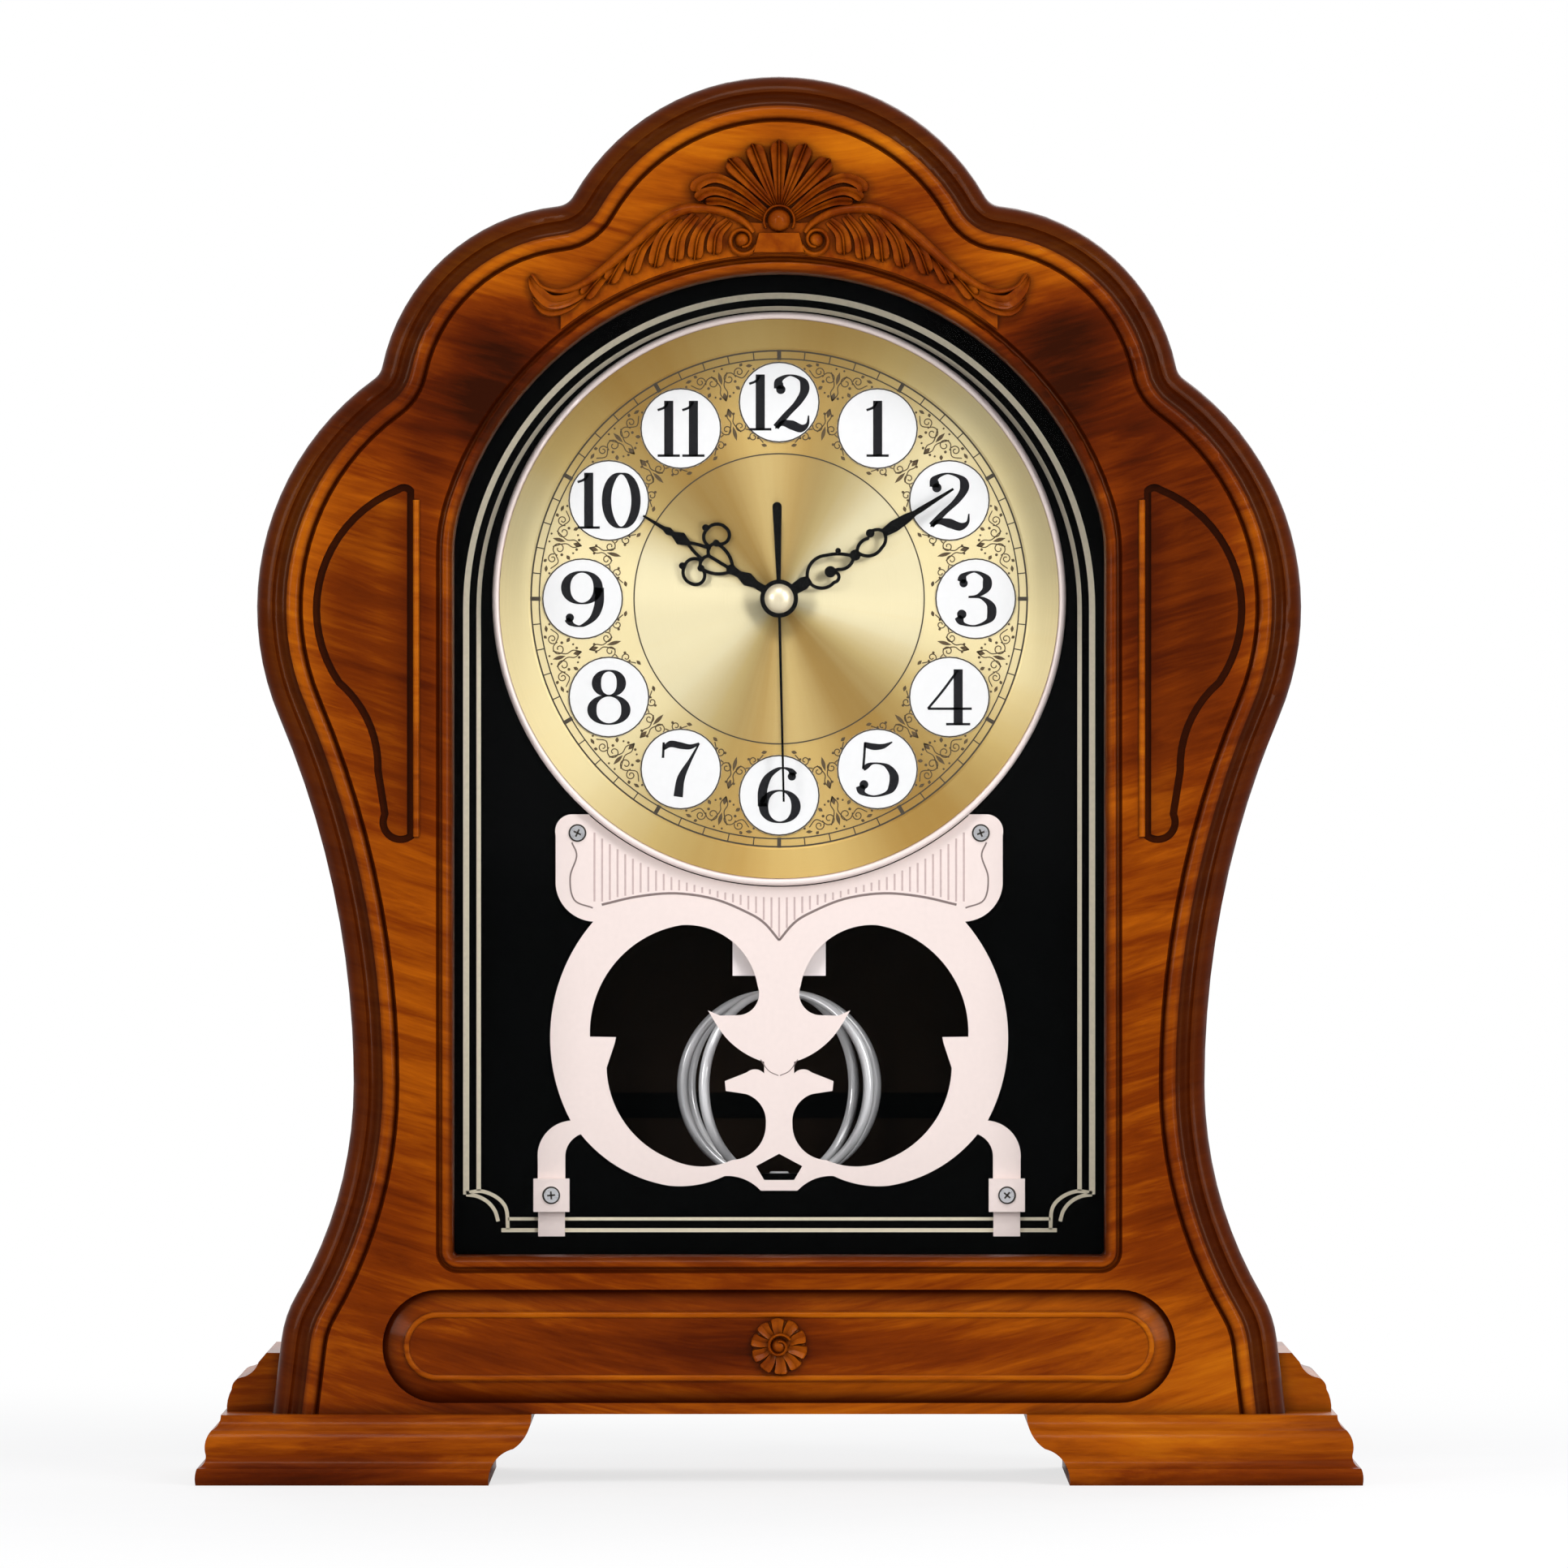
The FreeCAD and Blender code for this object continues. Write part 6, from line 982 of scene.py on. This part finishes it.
# %% Track
track = Workpiece()
for radius, half in ((61.2, 0.2), (59.2, 0.16), (35.8, 0.16)):
    strip(track, circle((0, DIAL_UP), radius, 144), half, dial_flat, BOLD_PRINT, closed=True)
for minute in range(60):
    inner, outer, half = (58.9, 62.6, 0.5) if minute % 5 == 0 else (59.2, 61.2, 0.14)
    strip(track, [spoke((0, DIAL_UP), radius, 6 * minute) for radius in (inner, outer)], half, dial_flat)
track.make("minute_track", "case", ink_track)
# Painted shadow: a dark ring round the edge of each numeral disc
disc_shadows = Workpiece()
RIM_RADIUS = 9.82
for hour in range(12):
    middle = spoke((0, DIAL_UP), NUMERAL_RING, 30 * hour)
    strip(disc_shadows, circle(middle, RIM_RADIUS, 36), 0.17, disc_front, THIN_PRINT, closed=True)
disc_shadows.make("disc_edge_shadows", "case", ink_track)

# %% Filigree
lace = Workpiece()


def turned_to(points, angle):
    """Places a drawing made above the centre at another angle, clockwise."""
    cos, sin = math.cos(math.radians(angle)), math.sin(math.radians(angle))
    return [(x * cos + z * sin, DIAL_UP - x * sin + z * cos) for x, z in points]


def leaf_drop(start, end, width, angle):
    """A small pointed leaf."""
    path = [(start[0] + (end[0] - start[0]) * i / 8, start[1] + (end[1] - start[1]) * i / 8)
            for i in range(9)]
    halves = [max(0.03, 1.3 * width * math.sin(math.pi * i / 8)) for i in range(9)]
    strip(lace, turned_to(path, angle), halves, dial_flat, THIN_PRINT)


# Scrolls: middle across and up, first and last radius, start angle, its lean to the side, turns
SCROLLS = (
    (2.1, 55.6, 1.7, 0.35, 90, -90, 1.3), (4.9, 56.6, 1.2, 0.3, 90, 100, -1.2),
    (1.7, 43.6, 1.4, 0.3, -90, 90, -1.3), (4.2, 40.2, 1.2, 0.3, 90, -80, 1.2),
)
STALKS = (
    ((0, 50.5), (0.9, 52.4), (0.5, 54.4), (2.0, 57.3)),
    ((0, 48.5), (0.8, 46.6), (0.3, 44.8), (1.6, 42.2)),
    ((3.6, 56.2), (5.4, 55.0), (7.4, 56.4)),
    ((2.8, 42.6), (4.4, 41.6), (6.2, 38.2)),
)
SIDE_LEAVES = (
    ((6.9, 57.6), (8.5, 57.3), 0.3), ((3.2, 53.4), (4.1, 52.4), 0.34), ((5.4, 57.9), (6.2, 58.5), 0.3),
    ((5.6, 37.9), (6.9, 37.2), 0.32), ((2.6, 45.9), (3.2, 46.9), 0.32),
)
DOTS = (
    ((1.2, 51.4), 0.28), ((2.3, 52.0), 0.22), ((3.4, 54.6), 0.3), ((1.0, 47.0), 0.26),
    ((3.0, 40.2), 0.28), ((5.2, 39.6), 0.22), ((8.6, 56.4), 0.24), ((1.0, 58.4), 0.22),
)
MIDDLE_LEAVES = (
    ((0, 50.4), (0, 52.6), 0.42), ((0, 54.6), (0, 57.8), 0.36),
    ((0, 48.4), (0, 46.2), 0.38), ((0, 44.0), (0, 40.4), 0.36),
)
DOT_SHARE = 0.62
for gap in range(12):
    angle = 15 + 30 * gap
    for side in (1, -1):
        drawn = [spiral((side * x, z), first, last, start + side * lean, side * turns)
                 for x, z, first, last, start, lean, turns in SCROLLS]
        drawn += [flowing(to_side(side, stalk), 5) for stalk in STALKS]
        for path in drawn:
            strip(lace, turned_to(path, angle), 0.14, dial_flat, THIN_PRINT)
        for start, end, width in SIDE_LEAVES:
            leaf_drop(*to_side(side, (start, end)), width, angle)
        for place, radius in DOTS:
            spot = turned_to(to_side(side, [place]), angle)[0]
            dot = radius * DOT_SHARE
            strip(lace, circle(spot, dot, 8), dot, dial_flat, THIN_PRINT, closed=True)
    for start, end, width in MIDDLE_LEAVES:
        leaf_drop(start, end, width, angle)
lace.make("dial_filigree", "case", ink_brown)

# %% [markdown]
# ## Work on the fret
# The fret is stamped from sheet. A pressed line follows its upper field, thin ribs stand between that
# line and the dial, and screws hold its ears and clamps. Lines and ribs are flat strips of painted shade:
# dark for the pressed lines, paler for the ribs.

# %% Painted shade for pressed lines and ribs
pressed = Workpiece()
UPPER_LINE = ((0.0, 132.8), (3.6, 137.0), (7.7, 139.6), (16.0, 143.0), (25.6, 144.4), (35.0, 143.6),
              (43.8, 141.6))
EAR_LINE = ((46.0, 140.8), (50.6, 142.8), (51.6, 148.4), (50.0, 153.6), (51.2, 157.0))
POINT_LINE = ((4.6, 103.4), (2.6, 100.6), (0.2, 99.4))
for side in (1, -1):
    for points, steps, half in ((UPPER_LINE, 6, 0.3), (EAR_LINE, 6, 0.2), (POINT_LINE, 5, 0.12)):
        strip(pressed, flowing(to_side(side, points), steps), half, fret_front, THIN_PRINT)
ribs = Workpiece()
RIB_STEP = 1.9
RIB_ARC = 72.9  # the ribs end under this circle round the dial's centre
RIB_GAP = 0.8
upper_line = flowing(UPPER_LINE, 6)
for number in range(-24, 25):
    x = number * RIB_STEP
    top = DIAL_UP - math.sqrt(RIB_ARC ** 2 - x * x) - RIB_GAP
    under = min(upper_line, key=lambda point: abs(point[0] - abs(x)))[1] + RIB_GAP
    if top - under > RIB_GAP:
        strip(ribs, [(x, under), (x, top)], 0.24, fret_front, THIN_PRINT)
# Painted shade: dark pressed lines and darker strips along the ribs
pressed.make("fret_line_shade", "case", plain("pressed line", (0.22, 0.16, 0.15), 0.5))
ribs.make("fret_rib_shade", "case", plain("rib shadow", (0.60, 0.46, 0.44), 0.5))

soften(nodes["fret_plate"], 0.22)

# %% Cross slots in the screw heads as painted shade, and painted shadow round the heads
slots = Workpiece()


def cross_slot(work, centre, front, size, turn, half, thickness):
    """The dark cross of a screw's drive, painted shade in its slot."""
    for angle in (turn, turn + 90):
        strip(work, around(centre, size, angle, angle + 180, 1), half, front, thickness)


EAR_SCREW = (49.8, 159.3)
CLAMP_SCREW = (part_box("fret_plate")[1].x * 1000 - 3.4, 69.9)
EAR_HEAD_DEEPER = 2.2  # the ears' screw heads lie behind those of the clamps
for side, turn in ((1, 20), (-1, 65)):
    ear, clamp = to_side(side, (EAR_SCREW, CLAMP_SCREW))
    cross_slot(slots, ear, front_of("fret_screws") + EAR_HEAD_DEEPER, 1.0, turn, 0.22, BOLD_PRINT)
    cross_slot(slots, clamp, front_of("fret_screws"), 1.0, turn + 30, 0.22, BOLD_PRINT)
    # Painted shadow: a dark ring round each screw head
    for place, seat in ((ear, fret_front), (clamp, front_of("fret_feet"))):
        strip(slots, circle(place, 1.95, 30), 0.26, seat, THIN_PRINT, closed=True)
slots.make("fret_screw_slot_shade", "case", slot_shadow)

SCREW_APART = 6  # points nearer than this belong to one screw


def heads(node):
    """The middle of each screw of a CAD piece, across and up."""
    groups = []
    for vertex in nodes[node].data.vertices:
        x, z = vertex.co.x * 1000, vertex.co.z * 1000
        for group in groups:
            if math.hypot(group[0][0] - x, group[0][1] - z) < SCREW_APART:
                group.append((x, z))
                break
        else:
            groups.append([(x, z)])
    return [tuple((min(p[i] for p in group) + max(p[i] for p in group)) / 2 for i in (0, 1))
            for group in groups]


# Painted shade in the slots of the back panel's screws
rear = Workpiece()
for number, middle in enumerate(heads("back_panel_screws")):
    cross_slot(rear, middle, back_of("back_panel_screws") + 0.04, 1.1, 25 * number, 0.24, 0.08)
rear.make("rear_screw_slot_shade", "case", slot_shadow)

# %% [markdown]
# ## A felt lip behind the door
# Light would shine through the thin gap round the back door. Makers glue a strip of black felt inside
# the panel, so that it laps behind the door's edge. The door opens outward and leaves it in place.

# %% Felt
felt = Workpiece()
FELT_OUT, FELT_HALF, FELT_THICKNESS = 1.6, 3.2, 0.6
panel_inside = front_of("back_panel")
door_low, door_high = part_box("back_door")
left, right = door_low.x * 1000 - FELT_OUT, door_high.x * 1000 + FELT_OUT
lower, upper = door_low.z * 1000 - FELT_OUT, door_high.z * 1000 + FELT_OUT
corners = [(left, lower), (right, lower), (right, upper), (left, upper)]
for start, end in zip(corners, corners[1:] + corners[:1]):
    strip(felt, [start, end], FELT_HALF, panel_inside - FELT_THICKNESS, -FELT_THICKNESS)
felt.make("door_felt", "case", plain("black felt", (0.002, 0.002, 0.002), 0.95, speck=0.4, scale=2500.0,
                                     Specular_IOR_Level=0.03))

# %% [markdown]
# ## Floor, backdrop and light
# The clock stands on a pale floor in front of white. Four soft lamps light it from the front, two of
# them at the right, one at the left and one above, and a broad one stands behind. What is seen past the
# clock is plain white, in mirror-like parts too, while the light that falls in from there is dimmer.

# %% Floor
FLOOR_HALF = 30
FADE_NEAR, FADE_FAR, NEAR_WHITE = 0.2, 0.7, 0.72  # the floor turns to plain white away from the clock
floor = bpy.data.meshes.new("floor")
floor.from_pydata([(FLOOR_HALF * x, FLOOR_HALF * y, 0) for x, y in ((-1, -1), (1, -1), (1, 1), (-1, 1))],
                  [], [[0, 1, 2, 3]])
floor_piece = placed("floor", floor)
floor_paint = Finish("pale floor", Roughness=0.7)
speckle = floor_paint.cloud(40.0)
floor_paint.colour(floor_paint.ramp(speckle, (0.3, (0.84, 0.84, 0.84)), (0.7, (0.86, 0.86, 0.86))))
glow = floor_paint.node("ShaderNodeEmission", {"Color": (1, 1, 1, 1), "Strength": 1.0})
across, deep, _ = floor_paint.axes()
fading = floor_paint.span(floor_paint.distance(across, deep), FADE_NEAR, FADE_FAR, NEAR_WHITE, 1.0,
                          "SMOOTHSTEP")
to_camera = floor_paint.node("ShaderNodeLightPath").outputs["Is Camera Ray"]
share = floor_paint.sum("MULTIPLY", to_camera, fading)
blend = floor_paint.node("ShaderNodeMixShader", {
    0: share, 1: floor_paint.shader.outputs[0], 2: glow.outputs[0]})
floor_paint.feed(floor_paint.surface, blend.outputs[0])
floor.materials.append(floor_paint.material)

# %% World
world = bpy.data.worlds.new("studio")
bpy.context.scene.world = world
sky = Net(world)
paths = sky.node("ShaderNodeLightPath").outputs
seen = sky.sum("MAXIMUM", paths["Is Camera Ray"], paths["Is Transmission Ray"])
seen = sky.sum("MAXIMUM", seen, paths["Is Glossy Ray"])
dim, white = [sky.node("ShaderNodeBackground", {"Color": colour, "Strength": strength}).outputs[0]
              for colour, strength in (((0.9, 0.93, 1.0, 1.0), 0.35), ((1.0, 1.0, 1.0, 1.0), 1.0))]
either = sky.node("ShaderNodeMixShader", {0: seen, 1: dim, 2: white})
sky.node("ShaderNodeOutputWorld", {0: either.outputs[0]})

# %% Lamps
LIT_PLACE = (0.0, 0.0, 0.18)


def softbox(name, place, width, height, power):
    lamp = bpy.data.lights.new(name, "AREA")
    lamp.shape = "RECTANGLE"
    lamp.size, lamp.size_y = width, height
    lamp.energy = power
    holder = placed(name, lamp)
    holder.location = place
    holder.rotation_mode = "QUATERNION"
    holder.rotation_quaternion = (Vector(LIT_PLACE) - Vector(place)).to_track_quat("-Z", "Y")


softbox("right box", (0.95, -1.15, 0.40), 0.35, 0.6, 7)
softbox("right upper box", (0.72, -1.15, 0.82), 0.4, 0.5, 5.5)
softbox("left box", (-0.98, -1.15, 0.46), 0.4, 0.5, 7)
softbox("upper box", (-0.08, -0.95, 1.2), 0.45, 0.35, 6)
softbox("back box", (0.3, 1.2, 0.9), 0.9, 0.9, 8)

# %% [markdown]
# ## Camera
# The picture was taken square on with a long lens, so the camera stands well back, level with the
# middle of the clock. Its view is as wide as the picture: 384 mm at the front board.

# %% Camera
VIEW_WIDTH = 0.3842
DISTANCE = 4.0
SENSOR = 36.0
CAMERA_ACROSS, CAMERA_UP = 0.0012, 0.1714
camera_data = bpy.data.cameras.new("camera")
camera_data.sensor_width = SENSOR
camera_data.lens = SENSOR * DISTANCE / VIEW_WIDTH
camera = placed("camera", camera_data)
camera.location = (CAMERA_ACROSS, board_front / 1000 - DISTANCE, CAMERA_UP)
camera.rotation_euler = (math.radians(90), 0, 0)
bpy.context.scene.camera = camera
bpy.context.scene.view_settings.view_transform = "Standard"
print("lens", round(camera_data.lens, 1), "mm at", DISTANCE, "m")
